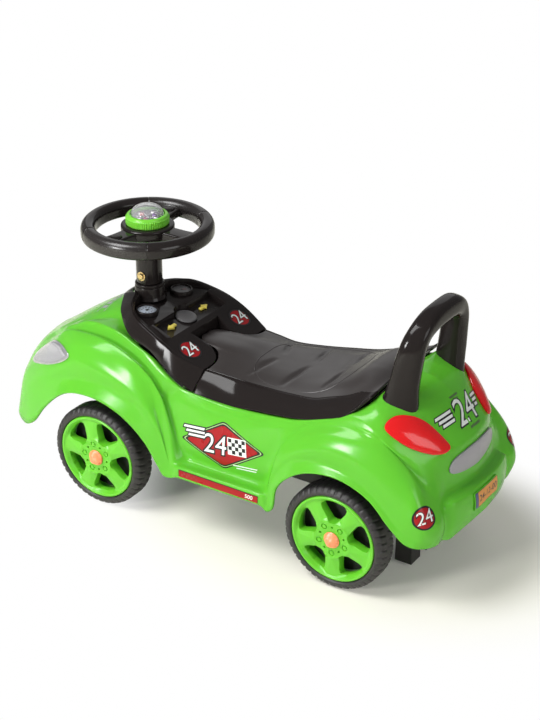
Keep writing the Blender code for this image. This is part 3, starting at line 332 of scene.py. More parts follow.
def prism(outline, floor, ceiling):
    """An upright prism over an outline; floor and ceiling give its heights from y."""
    bm = bmesh.new()
    face = bm.faces.new([bm.verts.new((x, y, 0)) for x, y in outline])
    face.normal_update()
    upper = set(only_verts(bmesh.ops.extrude_face_region(bm, geom=[face])["geom"]))
    for vert in bm.verts:
        vert.co.z = ceiling(vert.co.y) if vert in upper else floor(vert.co.y)
    bmesh.ops.recalc_face_normals(bm, faces=bm.faces)
    return bm


def sloped(y_start, z_start, y_end, z_end):
    return lambda y: z_start + (z_end - z_start) * (y - y_start) / (y_end - y_start)


def level(z):
    return lambda y: z


def rectangle(x0, y0, x1, y1):
    return [(x0, y0), (x1, y0), (x1, y1), (x0, y1)]


def mirrored_outline(half):
    return [*((p[0], p[1]) for p in half), *((-p[0], p[1]) for p in reversed(half))]


def squared_circle(angle, power):
    """A point of a unit circle that the power makes squarer."""
    c, s = math.cos(angle), math.sin(angle)
    stretch = (abs(c) ** power + abs(s) ** power) ** (-1 / power)
    return c * stretch, s * stretch


def smooth_points(points, places, closed=False):
    """Points of a smooth curve through the given ones, at places counted in points."""
    points = [Vector(point) for point in points]
    if closed:
        padded = [points[-1], *points, *points[:2]]
    else:
        padded = [points[0] * 2 - points[1], *points, points[-1] * 2 - points[-2]]
    found = []
    for spot in places:
        i = min(int(spot), len(padded) - 4)
        t = spot - i
        a, b, c, d = padded[i:i + 4]
        found.append(
            0.5 * (2 * b + (c - a) * t + (2 * a - 5 * b + 4 * c - d) * t**2
                   + (3 * b - a - 3 * c + d) * t**3))
    return found


def open_curve(points, count):
    return smooth_points(points, [k * (len(points) - 1) / count for k in range(count + 1)])


def flat_curve(points, count):
    return open_curve([(x, y, 0) for x, y in points], count)


def closed_curve(points, count):
    return smooth_points(points, [k * len(points) / count for k in range(count)], True)


# Half of the body, front centre to rear centre. Each column runs from the lower lip up the side,
# over the shoulder and across to the inner edge: lip, flare crease, lower side, shoulder, crest,
# foot of the step, hood or deck edge, two deck points and the inner edge under dash and seat.
# A column with one deck point gets the two before it from DECK_BULGE.
DECK_BULGE = 2.0
BODY_COLUMNS = (
    ((0, -317, 90), (0, -314, 112), (0, -314, 128), (0, -311, 145), (0, -300, 160), (0, -286, 171),
     (0, -270, 181), (0, -238, 203), (0, -204, 223), (0, -168, 239)),
    ((50, -312, 84), (50, -310, 111), (50, -307, 127), (48, -300, 145), (42, -287, 163), (38, -275, 173),
     (34, -265, 183), (27, -233, 204.5), (20, -201, 223.5), (14, -167, 238.5)),
    ((88, -299, 76), (84, -294, 112), (82, -290, 128), (73, -279, 150), (60, -265, 172), (54, -256, 180),
     (50, -254, 189), (41, -224, 208), (32, -195, 224), (24, -165, 237.5)),
    ((102, -277, 71), (96, -275, 120), (94, -268, 138), (84, -257, 163), (70, -243, 188), (64, -240, 191),
     (57, -243, 194), (49, -215, 211), (41, -189, 224.5), (33, -162, 235.5)),
    ((109.5, -257, 82), (103, -250, 137), (101, -243, 155), (90, -235, 180), (75, -228, 202),
     (70, -226, 200), (60, -234, 200.5), (40, -159, 233)),
    ((114, -234, 111), (108, -222, 152), (107, -216, 170), (95, -214, 193), (79, -213, 210.5),
     (73, -212, 204), (63, -222, 207), (46, -154, 229)),
    ((119, -198, 143), (111.5, -186, 164), (111, -186, 182), (101, -190, 203), (84, -190, 216),
     (78, -191, 207), (69, -196, 221), (53, -147, 225)),
    ((121, -158, 152), (113, -152, 169), (112.5, -158, 186), (103, -163, 206), (88, -163, 218.5),
     (82, -165, 209), (74, -168, 226), (62, -137, 220)),
    ((121, -112, 142), (113, -104, 161), (112.5, -113, 177), (104, -130, 200), (92, -136, 216.5),
     (86, -137, 206), (78, -140, 225), (68, -120, 211)),
    ((120, -76, 115), (113, -67, 138), (112, -76, 156), (105, -96, 187), (95, -108, 208), (89, -111, 198),
     (82, -113, 217), (73, -100, 204)),
    ((119, -57, 87), (113.5, -49, 106), (112, -56, 128), (105.5, -74, 166), (97, -89, 198), (91, -91, 189),
     (85, -90, 209), (74, -80, 195)),
    ((118, -48, 75), (115, -41, 88), (111.5, -48, 110), (106, -60, 146), (98, -76, 188), (92.5, -77, 179),
     (87, -71, 197), (75, -66, 184)),
    ((117, -36, 76), (115.5, -36, 88), (110, -40, 112), (104, -49, 145), (99.5, -62, 171), (94, -66, 164),
     (88, -58, 189), (75, -54, 176)),
    ((118, -33, 79.5), (118, -33, 94.5), (101.5, -31, 95.5), (99, -42, 118), (94.5, -57, 148),
     (90, -67, 169), (87, -44, 180), (75, -42, 170)),
    ((118, 28, 80), (118, 28, 95.5), (102, 28, 96), (102, 28, 118), (99, 28, 148), (93, 28, 168),
     (87, 28, 176), (84, 28, 176.5), (80, 28, 174), (75, 28, 170)),
    ((118, 91, 81), (118, 91, 96.5), (102, 86, 97), (102, 88, 120), (100, 96, 150), (95.5, 108, 177),
     (92, 112, 188), (88, 113, 188), (84, 113, 186), (77, 113, 182)),
    ((118, 94, 75), (115.5, 95, 90), (112, 97, 113), (106, 104, 149), (101, 119, 176), (96, 121, 184),
     (93, 122, 191), (78, 122, 184)),
    ((118, 103, 80), (114.5, 97, 104), (113, 100, 126), (106, 109, 160), (99, 130, 186), (95, 133, 191),
     (93.5, 134, 195), (78, 134, 187)),
    ((119, 108, 109), (114, 104, 122), (113, 108, 141), (106, 120, 169), (97.5, 145, 193), (94.5, 147, 197),
     (93.5, 148, 200), (79, 148, 192)),
    ((120, 133, 136), (114, 126, 149), (114, 133, 163), (107, 146, 184), (97, 163, 199), (95, 165, 203),
     (94, 166, 206), (90, 166, 206), (87, 166, 204), (80, 166, 200)),
    ((120, 181.5, 150.5), (114.5, 180, 160), (115, 183, 175), (108, 187, 193), (97.5, 193, 204),
     (96.5, 193, 207), (95, 192, 211), (91, 190, 217), (86, 189, 218), (79, 187, 216)),
    ((119, 230.5, 135), (116, 235, 141), (116, 237, 158), (109, 236, 181), (100, 229, 200), (99, 229, 203),
     (98, 228, 205.5), (95, 221, 213), (88, 211, 223), (76, 204, 229)),
    ((119.2, 257, 109.4), (115.2, 263.5, 113.4), (115.2, 267.5, 131.4), (108.2, 266.5, 159.4),
     (95.7, 258.5, 180.5), (93, 252, 184), (97, 246, 193), (91, 236, 210), (84, 223, 226), (69, 209, 235)),
    ((116, 274.9, 92.6), (113, 279.9, 102.6), (114, 284.9, 119.6), (108, 284.9, 141.6), (95.7, 278.4, 159.3),
     (87.5, 269, 165.9), (91, 257, 187), (84, 246, 207), (76, 231, 228), (59, 213, 239)),
    ((109, 289.8, 88.5), (107, 292.8, 95.5), (107, 297.8, 108.5), (102.2, 297.3, 125), (92, 291.9, 136.6),
     (81, 284.9, 146.8), (83, 267, 183.5), (76, 254, 205), (67, 238, 229), (50, 214, 241)),
    ((93, 299.8, 86.5), (92, 302.8, 93.5), (92, 305.8, 103.5), (89.2, 305.3, 117), (82, 298.9, 126.6),
     (73, 291.9, 136.8), (74, 275, 182), (67, 261, 203.5), (57, 244, 230), (40, 214.2, 242)),
    ((72, 298.4, 83.6), (72, 300.6, 91.6), (72, 301.4, 101.6), (72.5, 300.4, 113.6), (71.5, 297.4, 123.7),
     (64.2, 293.5, 133.4), (66, 281, 182), (58, 267, 202.5), (46, 249, 231), (31, 214.2, 243)),
    ((64.7, 303.4, 81.3), (64.7, 306.4, 91.3), (64.7, 308.4, 102.3), (64.7, 308.4, 120.3),
     (64, 306.4, 130.3), (57.5, 292.5, 133.9), (58, 286, 182.5), (49, 272, 202), (37, 251, 232),
     (24, 214.2, 243.4)),
    ((34, 311, 89), (34, 313.5, 98), (34, 315.5, 108), (34, 315, 122), (34, 312.2, 131.2),
     (32, 297.2, 134.8), (31, 295, 184), (26, 280, 201.5), (19, 255, 232), (12, 214.2, 243.7)),
    ((0, 316, 94), (0, 316, 102), (0, 316, 112), (0, 316, 126), (0, 313.6, 132.6), (0, 300.2, 135.8),
     (0, 299, 185), (0, 283, 202), (0, 256, 234), (0, 214.2, 243.8)),
)
CREASE_ROWS = (1, 4, 5, 6)
CREASE_COLUMNS = (12, 13, 15, 16, 26, 27)
# Half of the seat lid, front to rear, each row from the centre line out to the lower edge.
SEAT_ROWS = (
    ((0, -65.5, 211.5), (12, -65, 211.2), (19, -58, 210.3), (23.5, -38, 208.6), (38, -23.5, 205),
     (56, -21.5, 201.5), (65, -23, 201.5), (75, -25.8, 190), (82, -28, 177.5)),
    ((0, -14, 213.5), (14, -14, 213), (21, -13, 211.5), (28, -12, 209), (40, -8, 205.5), (56, -4, 201.5),
     (64, -2, 200), (74, -3, 189), (81, -5, 177.8)),
    ((0, 24, 209.5), (14, 24, 209.4), (21, 24, 209), (28, 24, 208), (40, 24, 205), (54, 24, 200.5),
     (62.5, 24, 198.5), (73, 24, 190), (81, 24, 180)),
    ((0, 62, 209.5), (14, 62, 209.5), (21, 62, 209.3), (28, 62, 209), (41, 62, 207.3), (56, 62, 203.5),
     (66.5, 61, 201.5), (77, 60, 194), (84, 58, 185.8)),
    ((0, 100, 213), (14, 100, 213), (21, 100, 212.8), (28, 100, 212.4), (42, 100, 211), (59, 99, 208),
     (71.5, 98, 206.5), (81, 96, 200), (88, 94, 192)),
    ((0, 130, 220), (14, 130, 219.8), (21, 130, 219.5), (28, 130, 219), (42, 130, 218), (58, 130, 214.5),
     (75, 129, 211.5), (84, 128, 206), (90, 127, 198)),
    ((0, 157, 234), (14, 156.5, 233.6), (21, 156, 233), (28, 155, 231.5), (42, 151, 227), (58, 150, 221.5),
     (74, 150, 218.5), (84, 150, 213), (90, 150, 204.5)),
    ((0, 176, 246.5), (14, 176, 246.2), (21, 176, 245.5), (28, 175.5, 244.5), (42, 175, 240),
     (58, 173, 231.5), (73, 172, 226), (83, 171, 219.5), (89.5, 170, 210.5)),
    ((0, 193, 248.5), (14, 193, 248.3), (21, 193, 248), (28, 193, 247.5), (42, 192, 245), (57, 191, 240),
     (70, 190, 234.5), (80, 189, 228.5), (87, 188, 222.5)),
    ((0, 209.4, 244.8), (14, 209.4, 244.8), (21, 209.4, 244.7), (28, 209.4, 244.6), (40, 209.2, 244.4),
     (50, 209, 244), (60, 208.5, 243), (70, 207.5, 241.5), (79, 206, 239.8)),
)

# Half outline of the dash moulding, front to rear: rim point and the base point below it.
DASH_STATIONS = (
    ((20, -157.5, 250.6), (20, -174, 244.4)),
    ((42, -147, 248), (46, -160, 239)),
    ((53, -138, 246), (59, -148, 233)),
    ((61, -130, 244), (69, -136, 228)),
    ((68, -116, 239.5), (76, -122, 222)),
    ((74, -92, 231.5), (81, -91.5, 214.5)),
    ((76, -72, 223), (83, -72, 201)),
    ((75, -52, 213), (84.4, -50, 189.3)),
    ((66, -24.5, 202), (84.6, -28.8, 178.8)),
)
# Left half of the handle, foot to top: centre point, half depth front to back, half thickness.
HANDLE_PATH = (
    ((57, 232, 230), 20.5, 12.3),
    ((56.2, 233.5, 243), 18.4, 11.6),
    ((55, 235.2, 256), 16.8, 11.3),
    ((52.5, 238, 278), 15.6, 11.2),
    ((48.5, 241.3, 298), 14.2, 11.2),
    ((40, 244.5, 312), 12.6, 11.4),
    ((26, 246.5, 319.5), 12.2, 12.0),
    ((11, 247, 321.5), 12.0, 12.2),
)


def mean_knots(lines):
    """The parameter of each cage point along a set of lines: their mean length so far."""
    knots = [0.0]
    for i in range(len(lines[0]) - 1):
        step = sum((line[i + 1] - line[i]).length for line in lines) / len(lines)
        knots.append(knots[-1] + step)
    return knots


def end_slopes(points, knots, creases):
    """The slope into and out of each point of a smooth curve that breaks at its creases."""
    last = len(points) - 1
    stops = sorted({0, last, *creases})
    before = [None] * len(points)
    after = [None] * len(points)
    for first, end in zip(stops, stops[1:]):
        chords = {i: (points[i + 1] - points[i]) / (knots[i + 1] - knots[i]) for i in range(first, end)}
        for i in range(first + 1, end):
            left = knots[i] - knots[i - 1]
            right = knots[i + 1] - knots[i]
            before[i] = after[i] = (chords[i - 1] * right + chords[i] * left) / (left + right)
        if end - first == 1:
            after[first] = before[end] = chords[first]
        else:
            after[first] = (3 * chords[first] - before[first + 1]) / 2
            before[end] = (3 * chords[end - 1] - after[end - 1]) / 2
    return before, after


def curve_points(points, knots, creases, places):
    """Points of the curve at places given as a point number and a part of the way to the next."""
    before, after = end_slopes(points, knots, creases)
    found = []
    for spot in places:
        i = min(int(spot), len(points) - 2)
        t = spot - i
        span = knots[i + 1] - knots[i]
        found.append(
            points[i] * (2 * t**3 - 3 * t**2 + 1) + after[i] * (span * (t**3 - 2 * t**2 + t))
            + points[i + 1] * (3 * t**2 - 2 * t**3) + before[i + 1] * (span * (t**3 - t**2)))
    return found


def places_along(steps):
    places = [i + k / count for i, count in enumerate(steps) for k in range(count)]
    return [*places, float(len(steps))]


def cage_grid(columns, column_steps, row_steps, column_creases=(), row_creases=()):
    """Points of the smooth surface through a cage, one list for each fine column."""
    lines = list(zip(*columns))
    knots = mean_knots(lines)
    along = [curve_points(line, knots, column_creases, places_along(column_steps)) for line in lines]
    fine_columns = list(zip(*along))
    row_knots = mean_knots(columns)
    return [curve_points(column, row_knots, row_creases, places_along(row_steps)) for column in fine_columns]


def grid_surface(points):
    """A grid primitive with its vertices moved onto the points."""
    bm = bmesh.new()
    wide = len(points) - 1
    deep = len(points[0]) - 1
    bmesh.ops.create_grid(bm, x_segments=wide, y_segments=deep, size=0.5)
    for vert in bm.verts:
        vert.co = points[round((vert.co.x + 0.5) * wide)][round((vert.co.y + 0.5) * deep)]
    return bm


def body_cage():
    columns = []
    for column in BODY_COLUMNS:
        points = [Vector(point) for point in column]
        if len(points) == 8:
            edge, inner = points[-2:]
            lift = Vector((0, 0, DECK_BULGE))
            points[-1:] = [edge.lerp(inner, 1 / 3) + lift, edge.lerp(inner, 2 / 3) + lift, inner]
        columns.append(points)
    return columns


def loft(loops, start_cap=True):
    """A skin through closed loops of as many points each, by extruding one ring of edges."""
    bm = bmesh.new()
    ring = bmesh.ops.create_circle(bm, segments=len(loops[0]), radius=1.0)["verts"]
    edges = []
    for number, loop in enumerate(loops):
        if number:
            fresh = set(only_verts(bmesh.ops.extrude_edge_only(bm, edges=edges)["geom"]))
            ring = [next(edge.other_vert(vert) for edge in vert.link_edges if edge.other_vert(vert) in fresh)
                    for vert in ring]
        for vert, point in zip(ring, loop):
            vert.co = point
        edges = [bm.edges.get(pair) for pair in zip(ring, [*ring[1:], ring[0]])]
        if start_cap and not number:
            bmesh.ops.contextual_create(bm, geom=edges)
    bmesh.ops.contextual_create(bm, geom=edges)
    bmesh.ops.recalc_face_normals(bm, faces=bm.faces)
    return bm


def soften(line, spots, reach=2, passes=2):
    """Rounds a line of points off near its creases."""
    line = list(line)
    for _ in range(passes):
        for spot in spots:
            low = max(spot - reach, 1)
            high = min(spot + reach, len(line) - 2)
            near = range(low, high + 1)
            line[low:high + 1] = [(line[i - 1] + line[i] * 2 + line[i + 1]) / 4 for i in near]
    return line


BODY_COLUMN_STEPS = [6] * 12 + [3, 10, 10, 3, 6] + [6] * 9 + [4, 8, 8]
BODY_ROW_STEPS = [7, 8, 9, 8, 5, 5, 8, 8, 6]


def body_grid():
    """The body's surface; its creases are kept sharper on the bumper than elsewhere."""
    points = cage_grid(body_cage(), BODY_COLUMN_STEPS, BODY_ROW_STEPS, CREASE_COLUMNS, CREASE_ROWS)
    row_spots = [sum(BODY_ROW_STEPS[:row]) for row in CREASE_ROWS]
    spots = [sum(BODY_COLUMN_STEPS[:column]) for column in CREASE_COLUMNS]
    bumper = spots[-2:]
    for i, column in enumerate(points):
        points[i] = soften(column, row_spots, *((1, 1) if i >= bumper[0] else (2, 2)))
    lines = [soften(soften(line, spots[:-2]), bumper, 1, 1) for line in zip(*points)]
    return list(zip(*lines))


def whole_tree(bm):
    """Both halves of a surface, for laying things on it."""
    both = bm.copy()
    other = bmesh.ops.duplicate(both, geom=both.faces[:])["geom"]
    for vert in only_verts(other):
        vert.co.x = -vert.co.x
    bmesh.ops.reverse_faces(both, faces=[item for item in other if isinstance(item, bmesh.types.BMFace)])
    tree = BVHTree.FromBMesh(both)
    both.free()
    return tree


def make_body():
    bm = grid_surface(body_grid())
    tree = whole_tree(bm)
    mirrored_wall(piece("body shell", bm, GREEN, replaces="body_shell", smooth=0))
    return tree


BODY = make_body()


def laid(tree, point, lift):
    spot, normal, _, _ = tree.find_nearest(point)
    return spot + normal * lift


def patch(edge, lift, crown, thickness, rings, rim):
    """A shell that lies on the body inside an edge and rises by its crown at the middle."""
    middle = sum(edge, Vector()) / len(edge)
    stacks = []
    for rise, dome in ((lift, 0.0), (lift + thickness, crown)):
        stack = []
        for k in range(rings):
            part = 1 - (k / rings) ** 1.4
            height = rise + dome * (1 - part**2.4)
            stack.append([laid(BODY, middle.lerp(point, part), height) for point in edge])
        stacks.append(stack)
    under, over = stacks
    return split_big_faces(round_edges(loft([*reversed(under), *over]), rim, 3, 50))


BEAD_SINK = 0.05


def bead(tree, line, width, crown=0.5, closed=False):
    """A thin domed strip laid on a surface along a line of points."""
    bm = bmesh.new()
    count = len(line)
    steps = count if closed else count - 1
    bmesh.ops.create_grid(bm, x_segments=steps, y_segments=4, size=0.5)
    for vert in bm.verts:
        i = round((vert.co.x + 0.5) * steps)
        side = 2 * vert.co.y
        ahead = line[(i + 1) % count] if closed else line[min(i + 1, count - 1)]
        behind = line[(i - 1) % count] if closed else line[max(i - 1, 0)]
        spot, normal, _, _ = tree.find_nearest(line[i % count])
        across = (ahead - behind).cross(normal).normalized()
        vert.co = laid(tree, spot + across * (side * width / 2), crown * (1 - side**2) - BEAD_SINK)
    bmesh.ops.remove_doubles(bm, verts=bm.verts, dist=0.001)
    bm.normal_update()
    return bm


def make_beads(tree, line, name, width, crown, body):
    """A bead along the line on the left side and one along its mirror image."""
    for side, half in SIDES:
        points = [Vector((side * point.x, point.y, point.z)) for point in line]
        piece(f"{name} {half}", bead(tree, points[::side], width, crown), BLACK, body, smooth=0)


class Spot:
    """A flat drawing plane that touches a surface, for printing shapes onto it."""

    def __init__(self, tree, centre, up=(0, 0, 1), turn=0.0):
        self.tree = tree
        self.spot, self.normal, _, _ = tree.find_nearest(Vector(centre))
        right = Vector(up).cross(self.normal).normalized()
        roll = Matrix.Rotation(math.radians(turn), 3, self.normal)
        self.right = roll @ right
        self.up = roll @ self.normal.cross(right).normalized()

    def shifted(self, right, up):
        """The same plane with its middle moved along it."""
        other = copy.copy(self)
        other.spot = self.spot + self.right * right + self.up * up
        return other

    def place(self, bm, lift):
        """Moves flat x and y of a bmesh onto the surface, along the plane's normal."""
        for vert in bm.verts:
            flat = self.spot + self.right * vert.co.x + self.up * vert.co.y
            hit = self.tree.ray_cast(flat + self.normal * RAY_START, -self.normal)[0]
            rise = 0.0 if hit is None else (hit - flat).dot(self.normal)
            vert.co = flat + self.normal * (rise + lift + vert.co.z)
        bm.normal_update()
        bmesh.ops.reverse_faces(bm, faces=[face for face in bm.faces if face.normal.dot(self.normal) < 0])
        return bm


RAY_START = 25
SHAPE_DETAIL = 1.6
DISC_RINGS = 9
DISC_SIDES = 64
FIGURE_CAP_HEIGHT = 0.72


def sliced(bm, axis, at):
    """Cuts a flat mesh across at one place, so that it can bend with a surface."""
    place, normal = Vector(), Vector()
    place[axis], normal[axis] = at, 1
    bmesh.ops.bisect_plane(bm, geom=[*bm.verts, *bm.edges, *bm.faces], plane_co=place, plane_no=normal)


def flat_shape(outline):
    """A flat filled outline, cut fine enough to bend with a surface."""
    bm = bmesh.new()
    bm.faces.new([bm.verts.new((point[0], point[1], 0)) for point in outline])
    for axis in (0, 1):
        low = min(point[axis] for point in outline)
        high = max(point[axis] for point in outline)
        count = int((high - low) / SHAPE_DETAIL)
        for k in range(1, count):
            sliced(bm, axis, low + (high - low) * k / count)
    return bm


def disc(radius):
    loops = [[polar(radius * (1 - i / DISC_RINGS), math.tau * k / DISC_SIDES) for k in range(DISC_SIDES)]
             for i in range(DISC_RINGS)]
    return split_big_faces(loft(loops, False))


def figures(text, height, grow=0.0, slant=0.0):
    """Plain numbers as a flat mesh, centred on the drawing plane."""
    curve = bpy.data.curves.new("figures", "FONT")
    curve.body = text
    curve.size = height / FIGURE_CAP_HEIGHT
    curve.align_x = "CENTER"
    curve.align_y = "CENTER"
    curve.offset = grow
    curve.shear = slant
    curve.resolution_u = 6
    obj = in_scene("figures", curve)
    bm = evaluated(obj)
    bpy.data.objects.remove(obj)
    bpy.data.curves.remove(curve)
    for k in range(-5, 6):
        for axis in (0, 1):
            sliced(bm, axis, k * height * 0.25)
    return bm


DASH_NOSE = 2.5
DASH_ACROSS = 16
DASH_STEPS = 5
DASH_TILT = (-3.7, 0, 0)
DASH_FLOOR = sloped(-150, 237.5, -103.5, 234.5)
TRAY_FLOOR = sloped(-103.5, 225.5, -77, 220.5)
TRAY_TILT = (-10.7, 0, 0)
SLOT_FLOOR = sloped(-70, 205, -24, 195.5)
DASH_RECESS = ((0, -152.6), (15, -151), (28, -147.6), (39, -143), (50.5, -135), (57.5, -125.5),
               (61.5, -114.5), (64.5, -104.5))
DASH_TRAY_X = 57.0
SEAT_SLOT = ((28.5, -70), (25, -58), (23.5, -47), (25.5, -39.5), (30.5, -32), (38, -27), (50, -24.2),
             (62, -24.4), (62, -12))
DASH_HOLLOW = ((15, -152), (55, -141), (70, -118), (76.5, -90), (78.5, -70), (79, -50), (77, -10))
DASH_SEAT_EDGE_Y = -30
DASH_ARROW = ((41.2, -94), (33.2, -98.6), (33.2, -96.1), (25.3, -96.1), (25.3, -91.9), (33.2, -91.9),
              (33.2, -89.4))
SPEAKER_CENTRE = (0.0, -96.5)
SPEAKER_RADIUS = 13.5
SPEAKER_Z = 224.6
GAUGE_CENTRE = (35.5, -128.5)
GAUGE_Z = 236.7
COLLAR_RADIUS = 20.8
ROD_RADIUS = 6.2
SKY = level(300)


def dash_block():
    """The dash as one solid, with its rim rounded before anything is cut out of it."""
    deep = (len(DASH_STATIONS) - 1) * DASH_STEPS
    places = [k / DASH_STEPS for k in range(deep + 1)]
    rim, base = (smooth_points(points, places) for points in zip(*DASH_STATIONS))
    bm = bmesh.new()
    bmesh.ops.create_grid(bm, x_segments=DASH_ACROSS, y_segments=deep, size=0.5)
    lower = set(only_verts(bmesh.ops.extrude_face_region(bm, geom=bm.faces[:])["geom"]))
    for vert in bm.verts:
        share = 2 * vert.co.x
        number = round((vert.co.y + 0.5) * deep)
        x, y, z = (base if vert in lower else rim)[number]
        vert.co = (share * x, y - DASH_NOSE * (1 - share**2) * max(0.0, 1 - places[number]), z)
    bmesh.ops.recalc_face_normals(bm, faces=bm.faces)
    upper = {vert for vert in bm.verts if vert not in lower}
    return round_edges(bm, 2.6, 5, 40, lambda edge: all(vert in upper for vert in edge.verts)
                       and min(vert.co.y for vert in edge.verts) < DASH_SEAT_EDGE_Y)


def make_dash():
    recess = mirrored_outline(flat_curve(DASH_RECESS, 36)[1:])
    slot = mirrored_outline([*flat_curve(SEAT_SLOT[:-1], 40), SEAT_SLOT[-1]])
    cutters = [
        prism(mirrored_outline(DASH_HOLLOW), level(120), sloped(-160, 230, -27, 188)),
        prism(recess, DASH_FLOOR, SKY),
        prism(rectangle(-DASH_TRAY_X, -104.6, DASH_TRAY_X, -77), TRAY_FLOOR, SKY),
        prism(slot, SLOT_FLOOR, SKY),
        moved(cylinder(SPEAKER_RADIUS + 1.6, 225.2, 300, 40), (*SPEAKER_CENTRE, 0)),
        moved(cylinder(COLLAR_RADIUS + 0.6, 239.6, 300, 56), AXIS),
        moved(cylinder(ROD_RADIUS, 150, 260, 24), AXIS),
    ]
    bm = carve(dash_block(), cutters)
    round_edges(bm, 0.7, 2, 42, lambda edge: min(vert.co.z for vert in edge.verts) > 203)
    split_big_faces(bm)
    tree = BVHTree.FromBMesh(bm)
    piece("dash console", bm, BLACK, replaces="dash_console")
    return tree


def dial_marks(count, low, high, width, lift, start=0.0, sweep=math.tau):
    bm = bmesh.new()
    for k in range(count):
        roll = Matrix.Rotation(start + sweep * k / count, 3, "Z")
        mark = bmesh.ops.create_grid(bm, x_segments=1, y_segments=1, size=0.5)["verts"]
        bmesh.ops.scale(bm, verts=mark, vec=(high - low, width, 1))
        bmesh.ops.translate(bm, verts=mark, vec=((high + low) / 2, 0, lift))
        bmesh.ops.rotate(bm, verts=mark, cent=(0, 0, 0), matrix=roll)
    return bm


def make_gauge(side, name):
    """A bezel, a dial with its marks and hub, and on the right side a needle."""
    place = (side * GAUGE_CENTRE[0], GAUGE_CENTRE[1], GAUGE_Z)

    def fit(part, bm, paint, replaces=""):
        piece(f"gauge {part} {name}", moved(bm, place, DASH_TILT), paint, replaces=replaces)

    fit("bezel", lathe([(11.3, 2.6), (11.3, 4.6), (12.6, 5.3), (14.0, 4.2), (14.4, 0.6)], 0.5), BLACK)
    dial = turned([(0, 3.2), (11.4, 2.9), (11.4, 0), (0, 0)], 64)
    fit("dial", dial, DIAL_WHITE if side > 0 else DIAL_GREY, "gauge_" + name)
    if side > 0:
        hub = turned([(0, 3.6), (1.9, 3.5), (1.9, 3.1)], 24)
        marks = merged(dial_marks(36, 8.2, 10.4, 0.42, 3.25), dial_marks(9, 5.6, 7.2, 1.5, 3.25, 0.4, 5.4),
                       dial_marks(2, -1.0, 4.4, 0.9, 3.35, 2.2, 2.0), hub)
        fit("print", marks, INK_BLACK)
    else:
        hub = turned([(0, 3.5), (1.2, 3.4), (1.2, 3.1)], 20)
        fit("print", merged(dial_marks(24, 8.8, 10.2, 0.35, 3.22), hub), INK_BLACK)
        fit("needle", dial_marks(1, -0.5, 5.5, 0.7, 3.4, 2.4), INK_RED)


def make_dash_trim():
    for side, name in SIDES:
        make_gauge(side, name)
        arrow = prism([(side * x, y) for x, y in DASH_ARROW], sloped(-103.5, 225.9, -77, 220.9),
                      sloped(-103.5, 228.4, -77, 223.4))
        piece("arrow " + name, round_edges(arrow, 0.5, 3, 40), YELLOW, replaces="arrow_button_" + name)
    place = (*SPEAKER_CENTRE, SPEAKER_Z)
    face = lathe([(0, 3.2), (9.5, 2.7), (12.4, 2.3), (13.5, 1.2), (13.5, 0), (0, 0)], 0.7)
    piece("speaker disc", moved(face, place, TRAY_TILT), DIAL_GREY, replaces="speaker_disc")
    # Black dots stand for the speaker's holes: painted shade where the perforations are.
    hole_shade = bmesh.new()
    for ring, (radius, count) in enumerate(((0, 1), (2.6, 6), (5.1, 12), (7.6, 16), (10.0, 20))):
        for k in range(count):
            spot = polar(radius, math.tau * k / count + ring * 0.3, 3.32 - 0.0082 * radius**2)
            made = bmesh.ops.create_circle(hole_shade, cap_ends=True, segments=10, radius=0.72)["verts"]
            bmesh.ops.translate(hole_shade, verts=made, vec=spot)
    piece("speaker holes", moved(hole_shade, place, TRAY_TILT), INK_BLACK)
    collar = lathe([(ROD_RADIUS, 260), (17.0, 260.2), (17.9, 259.2), (18.0, 256.4), (17.5, 255.9),
                    (18.1, 255.3), (18.9, 243.5), (COLLAR_RADIUS, 239.9), (ROD_RADIUS, 239.9)], 0.5, 96)
    piece("column collar", moved(collar, AXIS), BLACK, replaces="column_collar")


DASH = make_dash()
DASH_RIM = smooth_points([station[0] for station in DASH_STATIONS], [1 + k / 8 for k in range(53)])
make_beads(DASH, [point + Vector((-4.2, 0, 2)) for point in DASH_RIM], "dash edge bead", 1.6, 0.5, "car")
make_dash_trim()

SEAT_COLUMN_STEPS = [7, 7, 7, 7, 7, 7, 7, 6, 6]
SEAT_ROW_STEPS = [3, 3, 3, 5, 6, 5, 6, 7]
SEAT_GROOVES = (((10, 39), (47, 26.5)), ((9, 84.5), (53, 77)), ((9, 134.5), (50, 130)))
GROOVE_DEPTH = 3.0
GROOVE_HALF_WIDTH = 3.0
SEAT_SHOULDER = 6
SEAT_SKIRT = 5.0
SEAT_GROOVED_HALF = 60
SEAT_GLOSS_REACH = 2.6
SEAT_BEAD_INSET = 3.0
SEAT_PAD = ((0, 21.5), (17, 21.8), (33, 25.5), (46, 36), (54, 50), (58.5, 68), (61, 90), (62, 110),
            (59.5, 125), (52.5, 138.5), (39, 148.5), (20, 156), (0, 158.5))
HIGH_ABOVE = 400


def groove_depth(point):
    depth = 0.0
    for start, end in SEAT_GROOVES:
        along = Vector(end) - Vector(start)
        flat = point.xy - Vector(start)
        share = min(max(flat.dot(along) / along.length_squared, 0.0), 1.0)
        away = (flat - along * share).length / GROOVE_HALF_WIDTH
        depth += GROOVE_DEPTH * math.sin(math.pi * (0.1 + 0.8 * share)) * math.exp(-(away**2))
    return depth


def dropped(tree, point):
    """Where a plumb line through the point first meets a surface, or nothing."""
    return tree.ray_cast(Vector((point.x, point.y, HIGH_ABOVE)), Vector((0, 0, -1)))[0]


